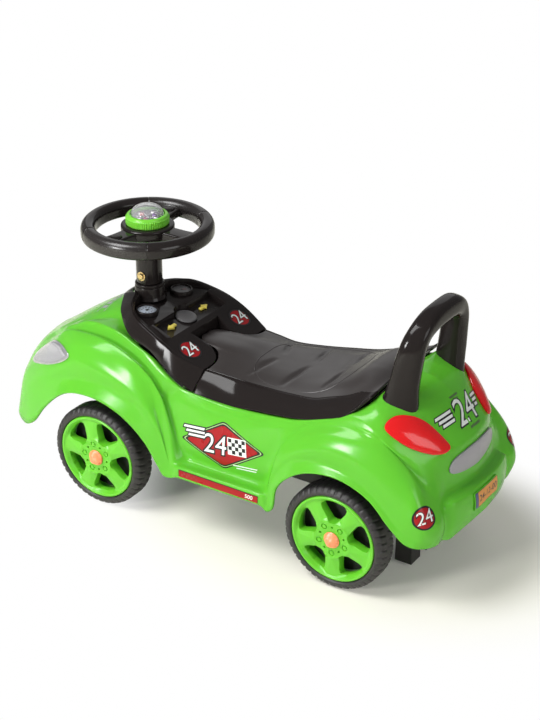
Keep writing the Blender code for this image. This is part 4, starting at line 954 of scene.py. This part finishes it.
def make_seat():
    """The seat lid; its side wall below the shoulder line is glossier than its top."""
    rows = [[Vector(point) for point in row] for row in SEAT_ROWS]
    for row in rows[:-1]:
        row[-1] += (row[-1] - row[-2]).normalized() * SEAT_SKIRT
    grid = cage_grid(rows, SEAT_COLUMN_STEPS, SEAT_ROW_STEPS, (), (SEAT_SHOULDER,))
    bm = grid_surface([soften(line, [sum(SEAT_ROW_STEPS[:SEAT_SHOULDER])]) for line in grid])
    bmesh.ops.reverse_faces(bm, faces=bm.faces)
    bmesh.ops.subdivide_edges(bm, edges=bm.edges[:], cuts=1, use_grid_fill=True)
    for vert in bm.verts:
        if vert.co.x < SEAT_GROOVED_HALF and vert.co.y > 0:
            vert.co.z -= groove_depth(vert.co)
    bm.normal_update()
    tree = whole_tree(bm)
    seat = piece("seat lid", bm, SEAT_BLACK, "seat", "seat_lid", 0)
    edge = smooth_points([row[SEAT_SHOULDER] for row in SEAT_ROWS[:-1]], [k / 8 for k in range(65)])
    seat.data.materials.append(BLACK)
    for face in seat.data.polygons:
        place = face.center / MM
        near = min(edge, key=lambda point: abs(point.y - place.y + CENTRE_Y))
        if place.x > near.x - SEAT_GLOSS_REACH and place.y - CENTRE_Y > edge[0].y - 8:
            face.material_index = 1
    mirrored_wall(seat)
    loop = closed_curve([(x, y, 0) for x, y in [*SEAT_PAD, *((-x, y) for x, y in SEAT_PAD[-2:0:-1])]], 240)
    seam = bead(tree, [dropped(tree, point) for point in loop], 1.8, closed=True)
    piece("seat pad seam", seam, SEAT_BLACK, "seat", smooth=0)
    inset = [point + Vector((-SEAT_BEAD_INSET, 0, 1)) for point in edge]
    make_beads(tree, inset, "seat edge bead", 1.8, 0.55, "seat")


make_seat()

HANDLE_STEPS = 8
HANDLE_SIDES = 48
HANDLE_TOE_IN = 0.22
HANDLE_SINK = 0.6
HANDLE_SQUARENESS = 2.9
HANDLE_FOOT = 258
HANDLE_FOOT_FADE = 25


def handle_section(centre, along, depth, thick):
    """One rounded section of the handle, square to the way it runs and rounder at the foot."""
    foot = min(1.0, max(0.0, (HANDLE_FOOT - centre.z) / HANDLE_FOOT_FADE))
    toe_in = math.copysign(HANDLE_TOE_IN + 0.2 * foot, -centre.x) if abs(centre.x) > 5 else 0
    across = Vector((toe_in, 1, 0))
    across -= across.project(along)
    across.normalize()
    other = along.cross(across).normalized()
    power = HANDLE_SQUARENESS - 0.5 * foot
    ring = [squared_circle(math.tau * k / HANDLE_SIDES, power) for k in range(HANDLE_SIDES)]
    return [centre + across * (depth * x) + other * (thick * y) for x, y in ring]


def make_handle():
    """The loop, with its lowest sections drawn down onto the body."""
    path = [*HANDLE_PATH, *(((-x, y, z), depth, thick) for (x, y, z), depth, thick in reversed(HANDLE_PATH))]
    places = [k / HANDLE_STEPS for k in range((len(path) - 1) * HANDLE_STEPS + 1)]
    centres = smooth_points([point for point, _, _ in path], places)
    sizes = smooth_points([(depth, thick, 0) for _, depth, thick in path], places)
    loops = []
    for i, (centre, size) in enumerate(zip(centres, sizes)):
        along = centres[min(i + 1, len(centres) - 1)] - centres[max(i - 1, 0)]
        loops.append(handle_section(centre, along.normalized(), size.x, size.y))
    for foot, *between, above in (loops[:5], loops[:-6:-1]):
        for point in foot:
            hit = dropped(BODY, point)
            if hit is not None:
                point.z = hit.z - HANDLE_SINK
        for i, loop in enumerate(between):
            for low, point, high in zip(foot, loop, above):
                point.xyz = low.lerp(high, (i + 1) / 4)
    piece("rear handle", loft(loops), BLACK, replaces="rear_handle", smooth=50)


make_handle()

GRIP_RADIUS = 71.5
GRIP_Z = 330.0
GRIP_SIDES = 40
GRIP_HALF = (9.0, 10.0)
GRIP_STEP = 2.5
GRIP_GAP = 0.05
# How far a grip is drawn in at its ends and on the next two rings, as a share of its size.
SEAM_PINCH = (0.35 / 9, 0.35 / 24, 0)
GRIPS = ((-36, 36, "left", GRIP_BLACK), (36, 144, "rear", WHEEL_BLACK), (144, 216, "right", GRIP_BLACK),
         (216, 324, "front", WHEEL_BLACK))
SPOKE_ANGLES = (-9, 90, 189)
SPOKE_OUTLINE = ((20, -12), (34, -11.2), (48, -11), (60, -12), (70, -15), (70, 15), (60, 12), (48, 11),
                 (34, 11.2), (20, 12))
SPOKE_FLOOR = 323.6
SPOKE_TOP = 333.4
BUTTON_DISTANCE = 53.0
HUB_BORE = 24.4
COLUMN_BORE = 5.6
BOLT_Z = 271.5


def grip_section():
    """Rounded top, flat skirt and a softened foot, as offsets from the middle of the grip."""
    found = []
    for k in range(GRIP_SIDES):
        angle = math.tau * k / GRIP_SIDES
        x, z = squared_circle(angle, 2.2 if math.sin(angle) > 0 else 5.0)
        found.append((GRIP_HALF[0] * x, GRIP_HALF[1] * z))
    return found


def swept_grip(start, end):
    """Part of the wheel's ring, closed at each end and drawn in a little there, as at a seam."""
    count = max(2, round((end - start) / GRIP_STEP))
    middle = [start + (end - start) * k / count for k in range(1, count)]
    angles = [start, start + 0.25, start + 0.5, *middle, end - 0.5, end - 0.25, end]
    loops = []
    for i, degrees in enumerate(angles):
        scale = 1 - SEAM_PINCH[min(i, len(angles) - 1 - i, 2)]
        loops.append([polar(GRIP_RADIUS + x * scale, math.radians(degrees), GRIP_Z + z * scale)
                      for x, z in grip_section()])
    return loft(loops)


def button_spot(side):
    return polar(BUTTON_DISTANCE, math.radians(SPOKE_ANGLES[0] if side > 0 else SPOKE_ANGLES[2]))


def make_steering_wheel():
    for start, end, name, paint in GRIPS:
        grip = moved(swept_grip(start + GRIP_GAP, end - GRIP_GAP), AXIS)
        piece("steering grip " + name, grip, paint, "steering", "steering_wheel" if name == "left" else "")
    plate = lathe([(HUB_BORE, 336), (30, 336), (32.4, 334.6), (32.4, 327), (30, 320), (28, 317), (19, 309),
                   (16, 301), (16, 260.6), (COLUMN_BORE, 260.6), (COLUMN_BORE, SPOKE_FLOOR),
                   (HUB_BORE, SPOKE_FLOOR)], 1.2, 96, True)
    spokes = []
    for angle in SPOKE_ANGLES:
        spoke = prism(SPOKE_OUTLINE, level(SPOKE_FLOOR), level(SPOKE_TOP))
        round_edges(spoke, 2.4, 4, 50, lambda edge: all(vert.co.z > 330 for vert in edge.verts))
        spokes.append(moved(spoke, turn=(0, 0, angle)))
    cutters = [moved(cylinder(8.4, 327, 350, 56), button_spot(side)) for side, _ in SIDES]
    bolt_hole = moved(cylinder(2.4, -30, 30, 24), (0, 0, BOLT_Z), (0, 90, 0))
    cutters += [cylinder(HUB_BORE, SPOKE_FLOOR, 340, 96), bolt_hole, cylinder(COLUMN_BORE, 250, 325, 40)]
    piece("steering spider", moved(carve(plate, cutters, spokes), AXIS), WHEEL_BLACK, "steering")
    for side, name in SIDES:
        button = lathe([(0, 336), (5.2, 335.6), (7.4, 334.6), (8.0, 333), (8.0, 330), (0, 330)], 0.8, 56)
        piece("horn button " + name, moved(button, button_spot(side) + AXIS), BLACK, "horn_" + name,
              "horn_button_" + name)
    module = lathe([(0, 335.2), (23.4, 335.2), (23.4, 324), (0, 324)], 0.6)
    piece("sound module", moved(module, AXIS), FRAME_BLACK, "steering", "sound_module")


KNURLS = 60
RING_STEPS = 360
DOME_BASE = 348
DOME_STEPS = 16
KNURL_DEPTH = 0.03


def make_knurled_ring():
    ring = lathe([(20.6, 348.2), (22.4, 348.6), (24.6, 347.5), (25.2, 345.8), (26.4, 344.8), (26.4, 338),
                  (25.6, 336.4), (20.6, 336.4)], 0.5, RING_STEPS, True)
    for vert in ring.verts:
        if vert.co.xy.length > 25.8 and 337.2 < vert.co.z < 345.4:
            vert.co.xy *= 1 - KNURL_DEPTH * max(0.0, math.cos(math.atan2(vert.co.y, vert.co.x) * KNURLS))
    piece("knurled ring", moved(ring, AXIS), RING_GREEN, "steering", "knurled_ring", 0)


def make_dome():
    """The clear dome over a bright dish with three small coloured lamps."""
    dish = lathe([(0, 339.4), (4, 339.4), (11, 340.6), (16.8, 345.9), (17.6, 345.6), (17.6, 336.4),
                  (0, 336.4)], 0.8, 96)
    cups = []
    for k, paint in enumerate((PINK, PURPLE, RED)):
        spot = polar(8.6, math.tau * (k + 0.2) / 3)
        cup = lathe([(3.4, 340.6), (5.4, 344.6), (5.9, 344.7), (6.2, 343.8), (5.9, 339.6), (3.4, 339.6)],
                     0.4, 40, True)
        cups.append(moved(cup, spot))
        lamp = lathe([(0, 346.6), (1.8, 346.0), (2.9, 343.6), (3.0, 340.2), (0, 340.2)], 0.5, 28)
        piece(f"dome lamp {k}", moved(lamp, spot + AXIS), paint, "steering")
    piece("dome reflector", moved(merged(dish, *cups), AXIS), DISH, "steering", "dome_reflector")
    angles = [math.pi / 2 * k / DOME_STEPS for k in range(DOME_STEPS + 1)]
    outer, inner = ([(radius * math.sin(angle), DOME_BASE + rise * math.cos(angle)) for angle in angles]
                    for radius, rise in ((19.8, 12), (18.0, 10.2)))
    dome = turned([*outer, (19.8, 344), (18.0, 344), *reversed(inner)], 96)
    piece("music dome", moved(dome, AXIS), CLEAR, "dome", "music_dome", 50)


def make_bolt():
    """Hexagon head, washer and shank through the column, drawn along +X."""
    parts = (lathe([(0, 19.6), (3.9, 19.2), (4.5, 18.2), (4.5, 16.5), (0, 16.5)], 0.5, 6),
             turned([(0, 17.2), (5.6, 17.0), (5.9, 16.6), (5.9, 16.2), (0, 16.2)], 40),
             turned([(0, 19.8), (2.0, 19.8), (2.0, -18), (0, -18)], 24))
    bolt = moved(merged(*parts), AXIS + Vector((0, 0, BOLT_Z)), (0, 90, 0))
    piece("column bolt", bolt, BRASS, "steering", "column_bolt")


SPOKES = 5
WINDOW = ((21.6, -3.6), (37.0, -15.2), (41.5, -16.8), (45.4, -11.5), (46.8, 0), (45.4, 11.5), (41.5, 16.8),
          (37.0, 15.2), (21.6, 3.6))
RIM_PROFILE = ((4.4, 15.3), (12, 15.3), (21.5, 15.7), (24, 16.3), (30, 15.6), (36, 14.8), (42, 14.0),
               (46.5, 13.6), (49.5, 14.0), (51.2, 15.6), (53.4, 15.2), (54, 13.6), (54, -15), (50.6, -15),
               (49.4, 2), (47, 3.2), (24, 3.0), (13, 3.0), (13, -16), (4.4, -16))
SPOKE_START = 23
SPOKE_END = 49.5
SPOKE_FALL = 3.4
SPOKE_FLARE = 0.285
SPOKE_SLOPE = 0.30
SPOKE_BACK = 9.0
WINDOW_DRAFT = 0.035


def slope_spokes(bm):
    """Slopes each spoke away from a flat middle that widens from the hub to the bead."""
    pitch = math.tau / SPOKES
    for vert in bm.verts:
        flat = vert.co.xy.length
        if SPOKE_START < flat < SPOKE_END and vert.co.z > 9.5:
            turn = math.atan2(vert.co.y, vert.co.x) % pitch - pitch / 2
            off = abs(flat * math.sin(turn)) - SPOKE_FLARE * (flat - SPOKE_START)
            ease = max(0.0, min(1.0, (flat - SPOKE_START) / 4, (SPOKE_END - flat) / 2.5))
            vert.co.z -= min(SPOKE_FALL, max(0.0, off) * SPOKE_SLOPE) * ease


def make_rim():
    profile = rounded(RIM_PROFILE, 1.0, 3)
    rim = turned([*filled_in(profile, 2.4), profile[-1]], 150, True)
    slope_spokes(rim)
    cutters = []
    for k in range(SPOKES):
        window = prism([point.xy for point in fillet_outline(WINDOW, 3.0)], level(1.0), level(22.0))
        for vert in window.verts:
            grow = (vert.co.z - 1.0) * WINDOW_DRAFT
            vert.co.x += grow * (1 if vert.co.x > 38 else -0.4)
            vert.co.y += grow * (1 if vert.co.y > 0 else -1)
        cutters.append(moved(window, turn=(0, 0, 360 / SPOKES * k)))
    for k in range(SPOKES):
        angle = math.tau / SPOKES * k
        cutters.append(moved(cylinder(1.5, 11.5, 20, 20), polar(16, angle)))
        groove = lathe([(2.5, 18), (2.3, 14.2), (2.9, 13.7), (3.5, 14.2), (4.2, 18)], 0.3, 28, True)
        cutters.append(moved(groove, polar(17.6, angle + math.pi / SPOKES)))
    rim = carve(rim, cutters)
    return round_edges(rim, 0.55, 2, 48, lambda edge: all(vert.co.z > SPOKE_BACK for vert in edge.verts))


LUGS = 44
LUG_STEPS = 12
LUG_DEPTH = 1.35
TREAD_MIDDLE = 2.6
TREAD_EDGE = 59.6
GROOVE_FADE = 0.9
GROOVE_NARROW = 1.45
GROOVE_WIDE = 1.75
LUG_SWING = 0.55
SHOULDER_START = 9
# Half of the tyre's profile, outer side to the middle of the tread: radius and distance outwards.
TYRE_PROFILE = ((54.3, 13.2), (54.9, 15.0), (56.4, 16.0), (58.6, 15.9), (60.6, 15.3), (62.2, 14.3),
                (63.4, 13.1), (64.2, 11.8), (64.7, 10.4), (64.9, 9.0), (65, 7.5), (65, 6), (65, 4.5),
                (65, 3.2), (65, 1.8), (65, 0.6))


def tread_depth(turn, height, radius):
    """How far the rubber is cut back at a place on the tyre."""
    along = abs(height)
    if along < TREAD_MIDDLE or radius < TREAD_EDGE:
        return 0.0
    pitch = math.tau / LUGS
    swing = math.copysign(LUG_SWING * (1 - min(1.0, along / 15)) ** 1.3, height)
    phase = (turn / pitch + swing + (0.5 if height <= 0 else 0.0)) % 1.0
    off = abs(phase - 0.5) * pitch * WHEEL_RADIUS
    wide = GROOVE_WIDE if along > SHOULDER_START else GROOVE_NARROW
    cut = max(0.0, min(1.0, (wide - off) / GROOVE_FADE))
    return LUG_DEPTH * cut * min(1.0, (along - TREAD_MIDDLE) / 1.4, (radius - TREAD_EDGE) / 1.6)


def make_tyre():
    profile = [*TYRE_PROFILE, *((radius, -height) for radius, height in reversed(TYRE_PROFILE))]
    tyre = turned(profile, LUGS * LUG_STEPS, True)
    for vert in tyre.verts:
        flat = vert.co.xy.length
        depth = tread_depth(math.atan2(vert.co.y, vert.co.x), vert.co.z, flat)
        lean = max(0.0, (abs(vert.co.z) - 12) / 4) * math.copysign(0.7, vert.co.z)
        vert.co.xy *= 1 - depth * (1 - 0.4 * abs(lean)) / flat
        vert.co.z -= depth * lean
    return tyre


CAP_WAIST = 0.11
CAP_DIP = 0.7
CAP_SKIRT = 17


def make_cap():
    """The hub cap, drawn in between its three lobes."""
    cap = lathe([(0, 23.4), (3, 23.2), (6.4, 21.8), (9.0, 19.2), (10.1, 16.6), (10.1, 15.7), (5.2, 15.7),
                 (5.2, 20.0), (0, 20.2)], 1.4, 72)
    for vert in cap.verts:
        flat = vert.co.xy.length
        if vert.co.z > CAP_SKIRT and flat > 0.1:
            hollow = 0.5 - 0.5 * math.cos(3 * math.atan2(vert.co.y, vert.co.x))
            hollow *= min(1.0, flat / 5) * min(1.0, (vert.co.z - CAP_SKIRT) / 2)
            vert.co.xy *= 1 - CAP_WAIST * hollow
            vert.co.z -= CAP_DIP * hollow
    return cap


def on_wheel(bm, name):
    """Turns a wheel part drawn along +Z to its place, windows at the angle seen in the photo."""
    side = 1 if name.endswith("left") else -1
    y = FRONT_AXLE_Y if name.startswith("front") else REAR_AXLE_Y
    moved(bm, turn=(0, 0, 90 + side * WHEEL_TURNS[name]))
    return moved(bm, (side * TRACK_HALF, y, WHEEL_RADIUS), (0, 90 * side, 0))


def make_wheels():
    # The dark disc inside each rim is painted shade: it stands in for the shadow seen through the spoke
    # windows.
    back = lathe([(13.2, -6.0), (49.2, -6.0), (49.2, -7.6), (13.2, -7.6)], 0.4, 64, True)
    parts = (("rim", make_rim(), RIM_GREEN, "rim_", 40), ("tyre", make_tyre(), TYRE_BLACK, "tyre_", 50),
             ("wheel shade disc", back, FRAME_BLACK, "", 35), ("hub cap", make_cap(), ORANGE, "hub_cap_", 50))
    for name in WHEEL_TURNS:
        for part, bm, paint, stem, smooth in parts:
            piece(f"{part} {name.replace('_', ' ')}", on_wheel(bm.copy(), name), paint, "wheel_" + name,
                  stem and stem + name, smooth)


make_steering_wheel()
make_knurled_ring()
make_dome()
make_bolt()
make_wheels()

TAIL_LAMP = ((93, 233, 214.5), (86, 252, 197), (72.5, 270.5, 185.5), (57.5, 283.5, 181.5),
             (46.5, 288.5, 185), (46, 284, 193), (54, 270.5, 213), (68.5, 255, 227), (83.5, 239.5, 228))
HEAD_LAMP = ((72, -279, 157), (70, -266, 167), (72, -246, 177), (80, -226, 187), (95, -204, 192),
             (107, -193, 190), (106, -205, 178), (98, -232, 163), (87, -262, 152), (78, -277, 150))
GREY_LENS = ((50, 291, 158), (44, 292, 170), (25, 297, 175), (0, 299.5, 177), (-25, 297, 175),
             (-44, 292, 170), (-50, 291, 158), (-36, 294, 152), (0, 301, 149), (36, 294, 152))
LAMP_POINTS = 72
LENS_SHARE = 0.86
PLATE_HALF = (26.6, 10.7)
PLATE_X = 6.0
PLATE_Y = 315.0
PLATE_HEIGHT = 117.3


def lamp_edge(outline, side=1):
    return closed_curve([(side * x, y, z) for x, y, z in outline], LAMP_POINTS)


def make_lamps():
    for side, name in SIDES:
        head = lamp_edge(HEAD_LAMP, side)
        bowl = patch(head, 0.3, 0.0, 1.6, 12, 0.5)
        piece("headlight housing " + name, bowl, SILVER, replaces="headlight_housing_" + name)
        middle = sum(head, Vector()) / len(head)
        lens = patch([middle.lerp(point, LENS_SHARE) for point in head], 2.2, 2.6, 1.0, 14, 0.4)
        piece("headlight lens " + name, lens, CLEAR, replaces="headlight_lens_" + name)
        tail = patch(lamp_edge(TAIL_LAMP, side), 0.2, 4.0, 2.4, 16, 0.8)
        piece("tail lamp " + name, tail, RED, replaces="tail_light_" + name)
    panel = patch(lamp_edge(GREY_LENS), 0.2, 1.6, 2.4, 14, 0.7)
    piece("rear grey panel", panel, GREY, replaces="rear_grey_lens")


def make_plate():
    half_x, half_z = PLATE_HALF
    corners = fillet_outline(rectangle(-half_x, -half_z, half_x, half_z), 2.0, 4)
    edge = [Vector((PLATE_X + point.x, PLATE_Y, PLATE_HEIGHT + point.y)) for point in corners]
    plate = patch(filled_in([*edge, edge[0]], 3), 0.3, 0.0, 1.9, 12, 0.4)
    tree = BVHTree.FromBMesh(plate)
    piece("number plate", plate, GREEN, replaces="number_plate")
    return tree


make_lamps()
PLATE = make_plate()


def grown(outline, margin):
    """The convex outline moved outwards by a margin."""
    points = [Vector(point) for point in outline]
    area = sum(a.x * b.y - b.x * a.y for a, b in zip(points, [*points[1:], points[0]]))
    turn = 1 if area > 0 else -1
    found = []
    for i, here in enumerate(points):
        one = (here - points[i - 1]).normalized()
        two = (points[(i + 1) % len(points)] - here).normalized()
        out = (Vector((one.y + two.y, -one.x - two.x)) * turn).normalized()
        lean = max(0.5, out.dot(Vector((one.y, -one.x)) * turn))
        found.append(here + out * margin / lean)
    return found


def printed(name, spot, bm, paint, lift):
    piece(name, spot.place(bm, lift), paint, smooth=0)


def number_print(name, spot, text, height, lift, edge=0.9, slant=0.12):
    """White figures with a black border."""
    printed(name + " border", spot, figures(text, height, edge, slant), INK_BLACK, lift)
    printed(name, spot, figures(text, height, 0.0, slant), INK_WHITE, lift + 0.05)


def shape(points, margin=0.0, fillet=0.0):
    outline = grown(points, margin) if margin else [Vector(point) for point in points]
    return flat_shape(fillet_outline(outline, fillet, 4) if fillet else outline)


def slanted_bar(x, y, length, height, lean=0.0):
    return [(x, y), (x + length, y), (x + length + lean, y + height), (x + lean, y + height)]


def bars(rows, margin=0.0):
    return merged(*(shape(slanted_bar(*row), margin) for row in rows))


def wing_print(name, spot, rows, margin, lift):
    """White bars with a black border; the name takes the layer's number."""
    for number, (edge, paint) in enumerate(((margin, INK_BLACK), (0.0, INK_WHITE))):
        printed(name.format(number), spot, bars(rows, edge), paint, lift + 0.05 * number)


PRINTED_NUMBER = "24"
BADGE = ((-51, 0), (3, 25), (51, 0), (-1, -25))
BADGE_LAYERS = ((4.8, INK_BLACK), (3.3, INK_PALE_GREEN), (2.4, INK_BLACK), (0.5, INK_RED))
CHEQUER = 4.7
STRIP_HALF = 56.0
STRIP_CELL = 2.6


def make_side_print(side, name):
    """Diamond badge with wings, a plain number and chequers, on one side of the body."""
    spot = Spot(BODY, (side * 100, 24, 131), turn=7 * side)
    for number, (margin, paint) in enumerate(BADGE_LAYERS):
        printed(f"badge {number} {name}", spot, shape(BADGE, margin, 5), paint, 0.06 + 0.04 * number)
    wings = [(-55 + 3.0 * k, 14.5 - 4.9 * k, 30 - 3.0 * k, 2.8, 1.2) for k in range(3)]
    wing_print("wings {} " + name, spot, wings, 1.5, 0.22)
    number_print("side number " + name, spot.shifted(-11, -1), PRINTED_NUMBER, 24.5, 0.24, 1.9)
    printed("chequer ground " + name, spot, shape(rectangle(8.3, -8.7, 34.2, 12.5)), INK_WHITE, 0.24)
    corners = [(9.5 + CHEQUER * i, 6.6 - CHEQUER * j) for i in range(5) for j in range(i % 2, 4, 2)]
    cells = [shape(rectangle(x, y, x + CHEQUER, y + CHEQUER)) for x, y in corners]
    printed("chequer " + name, spot, merged(*cells), INK_BLACK, 0.29)
    lines = [(13 + 4 * k, -22.5 - 3.4 * k, 34 - 6 * k, 1.5, 1.0) for k in range(2)]
    printed("white lines " + name, spot, bars(lines), INK_WHITE, 0.1)


def make_strip_print(side, name):
    """Red strip along the outer face of the sill."""
    spot = Spot(BODY, (side * 118, 29, 87))
    low, high = -STRIP_HALF, STRIP_HALF
    printed("sill border " + name, spot, shape(rectangle(low, -4.6, high, 4.9)), INK_BLACK, 0.06)
    printed("sill strip " + name, spot, shape(rectangle(low + 0.8, -4.6, high - 0.8, 3.8)), INK_RED, 0.11)
    cells = []
    for k in range(7):
        near, far = -side * (52 - 3.4 * k), -side * (49.2 - 3.4 * k)
        foot = STRIP_CELL * (k % 2 - 1)
        cells.append(shape(rectangle(near, foot, far, foot + STRIP_CELL)))
    printed("sill chequer " + name, spot, merged(*cells), INK_DARK_RED, 0.15)
    number = figures("500", 5.2, 0.1, 0.1)
    printed("sill number " + name, spot.shifted(side * 43, -0.4), number, INK_WHITE, 0.16)


def roundel(name, spot, radius, height):
    printed(name + " edge", spot, disc(radius), INK_BLACK, 0.15)
    printed(name + " face", spot, disc(radius * 0.85), INK_RED, 0.2)
    number_print(name + " number", spot, PRINTED_NUMBER, height, 0.25, 0.9, 0.1)


def make_prints():
    for side, name in SIDES:
        make_side_print(side, name)
        make_strip_print(side, name)
        roundel("tail roundel " + name, Spot(BODY, (side * 106, 293, 128), turn=10 * side), 13.6, 15)
        roundel("pad roundel " + name, Spot(DASH, (side * 52, -53, 215), (0, -1, 0.3)), 14.4, 16.5)
    deck = Spot(BODY, (0, 279.5, 206))
    number_print("tail number", deck.shifted(6, 0), PRINTED_NUMBER, 31, 0.08, 1.9)
    left = [(-44 + 3 * k, 7.5 - 5.4 * k, 26 - 3 * k, 3.2, 1.2) for k in range(3)]
    right = [(31, 7.5 - 5.4 * k, 16 - 4 * k, 3.2, 1.2) for k in range(3)]
    wing_print("tail wings {}", deck, left + right, 1.3, 0.07)
    small = [(-9, 20, 17, 2.6), (-6, 16, 11, 2.2), (-2, -20.5, 22, 3.0, 1.0)]
    printed("tail small bars", deck, bars(small), INK_DARK_GREEN, 0.1)
    hood = [(-34 + 9.6 * k, -4.2, 6.2, 8.4, 1.8) for k in range(7)]
    hood += [(-38, -7.6, 76, 1.2), (-36, 6.6, 76, 1.2)]
    printed("hood bars", Spot(BODY, (0, -199, 224), (0, 1, 0.3)), bars(hood), GREY, 0.1)


def make_plate_print():
    plate = Spot(PLATE, (PLATE_X, 325, PLATE_HEIGHT + 1))
    printed("plate border", plate, shape(rectangle(-25.8, -9.6, 25.8, 9.6), 0, 2), INK_BLACK, 0.05)
    printed("plate face", plate, shape(rectangle(-20.0, -9.1, 25.3, 9.1), 0, 0.8), INK_ORANGE, 0.1)
    printed("plate strip", plate, shape(rectangle(-25.3, -9.1, -20.4, 9.1), 0, 0.8), INK_BLUE, 0.1)
    printed("plate number", plate.shifted(2.7, 0), figures("24-12-00", 8.2, 0.12), INK_BLACK, 0.14)


make_prints()
make_plate_print()


def paint_cad(made, *names):
    for name in names:
        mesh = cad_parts[name].data
        mesh.materials.clear()
        mesh.materials.append(made)


paint_cad(STEEL, "seat_hinge_pin", "seat_hinge_leaf", "front_axle", "rear_axle", "steering_rod")
paint_cad(FRAME_BLACK, "storage_tub", "front_crossmember", "rear_axle_frame", "anti_tip_stand",
          "rear_bush_left", "rear_bush_right", "axle_carrier")

# The stage is in metres. Each light has a name, place, aim, size and power.
CAMERA_PLACE = (1.4969, 0.9979, 1.1123)
CAMERA_BACK = (0.7463, 0.4858, 0.4549)
CAMERA_LENS = 84.735
LIGHTS = (
    ("main softbox", (2.3, -0.85, 0.8), (0, 0, 0.15), (0.45, 0.5), 32),
    ("high softbox", (1.3, -0.9, 2.2), (0, 0, 0.1), (1.2, 1.2), 56),
    ("far card", (-1.7, -1.1, 1.05), (0, 0, 0.2), (1.6, 1.1), 2.8),
    ("rear fill", (0.7, 2.4, 1.0), (0, 0.2, 0.1), (1.3, 1.1), 17),
)
SKY_STRENGTH = 0.26
# The floor colour is its own warm off-white and also a painted tint for its shadow; the fade's shift, scale
# and least share (To Min) set where the camera-only glow whitens the floor and lifts the car's shadow, which
# is painted light.
FLOOR_AND_SHADOW_TINT = (0.965, 0.95, 0.83)
FADE_SHIFT = (0.03, -0.12, 0.0)
FADE_SCALE = (1.5, 1.0, 1.0)
FADE_RANGE = {"From Min": 0.22, "From Max": 0.38, "To Min": 0.08}


def aimed(name, data, place, back):
    """A camera or light at its place, with its back to a direction."""
    obj = in_scene(name, data)
    obj.location = place
    obj.rotation_euler = Vector(back).to_track_quat("Z", "Y").to_euler()
    return obj


def make_camera():
    data = bpy.data.cameras.new("camera")
    data.sensor_fit = "AUTO"
    data.sensor_width = 36
    data.lens = CAMERA_LENS
    bpy.context.scene.camera = aimed("camera", data, CAMERA_PLACE, CAMERA_BACK)


def make_lights():
    for name, place, aim, size, power in LIGHTS:
        data = bpy.data.lights.new(name, "AREA")
        data.shape = "RECTANGLE"
        data.size, data.size_y = size
        data.energy = power
        aimed(name, data, place, Vector(place) - Vector(aim))


def floor_paint():
    """Warm pale floor that fades, for the camera only, into a white backdrop well away from the car. The
    camera-only white glow is partly painted light: its least share stays near the car and lightens the car's
    shadow, and the fade is shifted towards the rear and narrowed across, so the floor and its shadow turn
    white sooner in front and at the sides. The warm tint shows mostly in shadow, as a painted tint of light
    bounced off the body.
    """
    made, shader = principled("floor", FLOOR_AND_SHADOW_TINT, 0.9)
    place = node(made, "ShaderNodeTexCoord")
    shift = node(made, "ShaderNodeVectorMath", {1: FADE_SHIFT}, operation="ADD")
    narrow = node(made, "ShaderNodeVectorMath", {1: FADE_SCALE}, operation="MULTIPLY")
    reach = node(made, "ShaderNodeVectorMath", operation="LENGTH")
    fade = node(made, "ShaderNodeMapRange", FADE_RANGE, interpolation_type="SMOOTHSTEP")
    paths = node(made, "ShaderNodeLightPath")
    both = node(made, "ShaderNodeMath", operation="MULTIPLY")
    glow = node(made, "ShaderNodeEmission")
    mix = node(made, "ShaderNodeMixShader")
    wire(made, place, "Object", shift, 0)
    wire(made, shift, "Vector", narrow, 0)
    wire(made, narrow, "Vector", reach, 0)
    wire(made, reach, "Value", fade, "Value")
    wire(made, fade, "Result", both, 0)
    wire(made, paths, "Is Camera Ray", both, 1)
    wire(made, both, "Value", mix, "Fac")
    wire(made, shader, "BSDF", mix, 1)
    wire(made, glow, "Emission", mix, 2)
    wire(made, mix, "Shader", made.node_tree.nodes["Material Output"], "Surface")
    return made


def make_floor():
    bm = bmesh.new()
    bmesh.ops.create_grid(bm, x_segments=1, y_segments=1, size=6)
    floor = to_object("floor", bm)
    floor.data.materials.append(floor_paint())


def make_world():
    """Soft light from all around, and a white backdrop for the camera."""
    world = bpy.data.worlds.new("studio")
    bpy.context.scene.world = world
    world.use_nodes = True
    background = world.node_tree.nodes["Background"]
    background.inputs["Color"].default_value = (1.0, 1.0, 1.0, 1.0)
    paths = node(world, "ShaderNodeLightPath")
    seen = node(world, "ShaderNodeMix", {"A": SKY_STRENGTH, "B": 1.0})
    wire(world, paths, "Is Camera Ray", seen, "Factor")
    wire(world, seen, "Result", background, "Strength")
    bpy.context.scene.view_settings.view_transform = "Standard"


make_camera()
make_floor()
make_world()
make_lights()
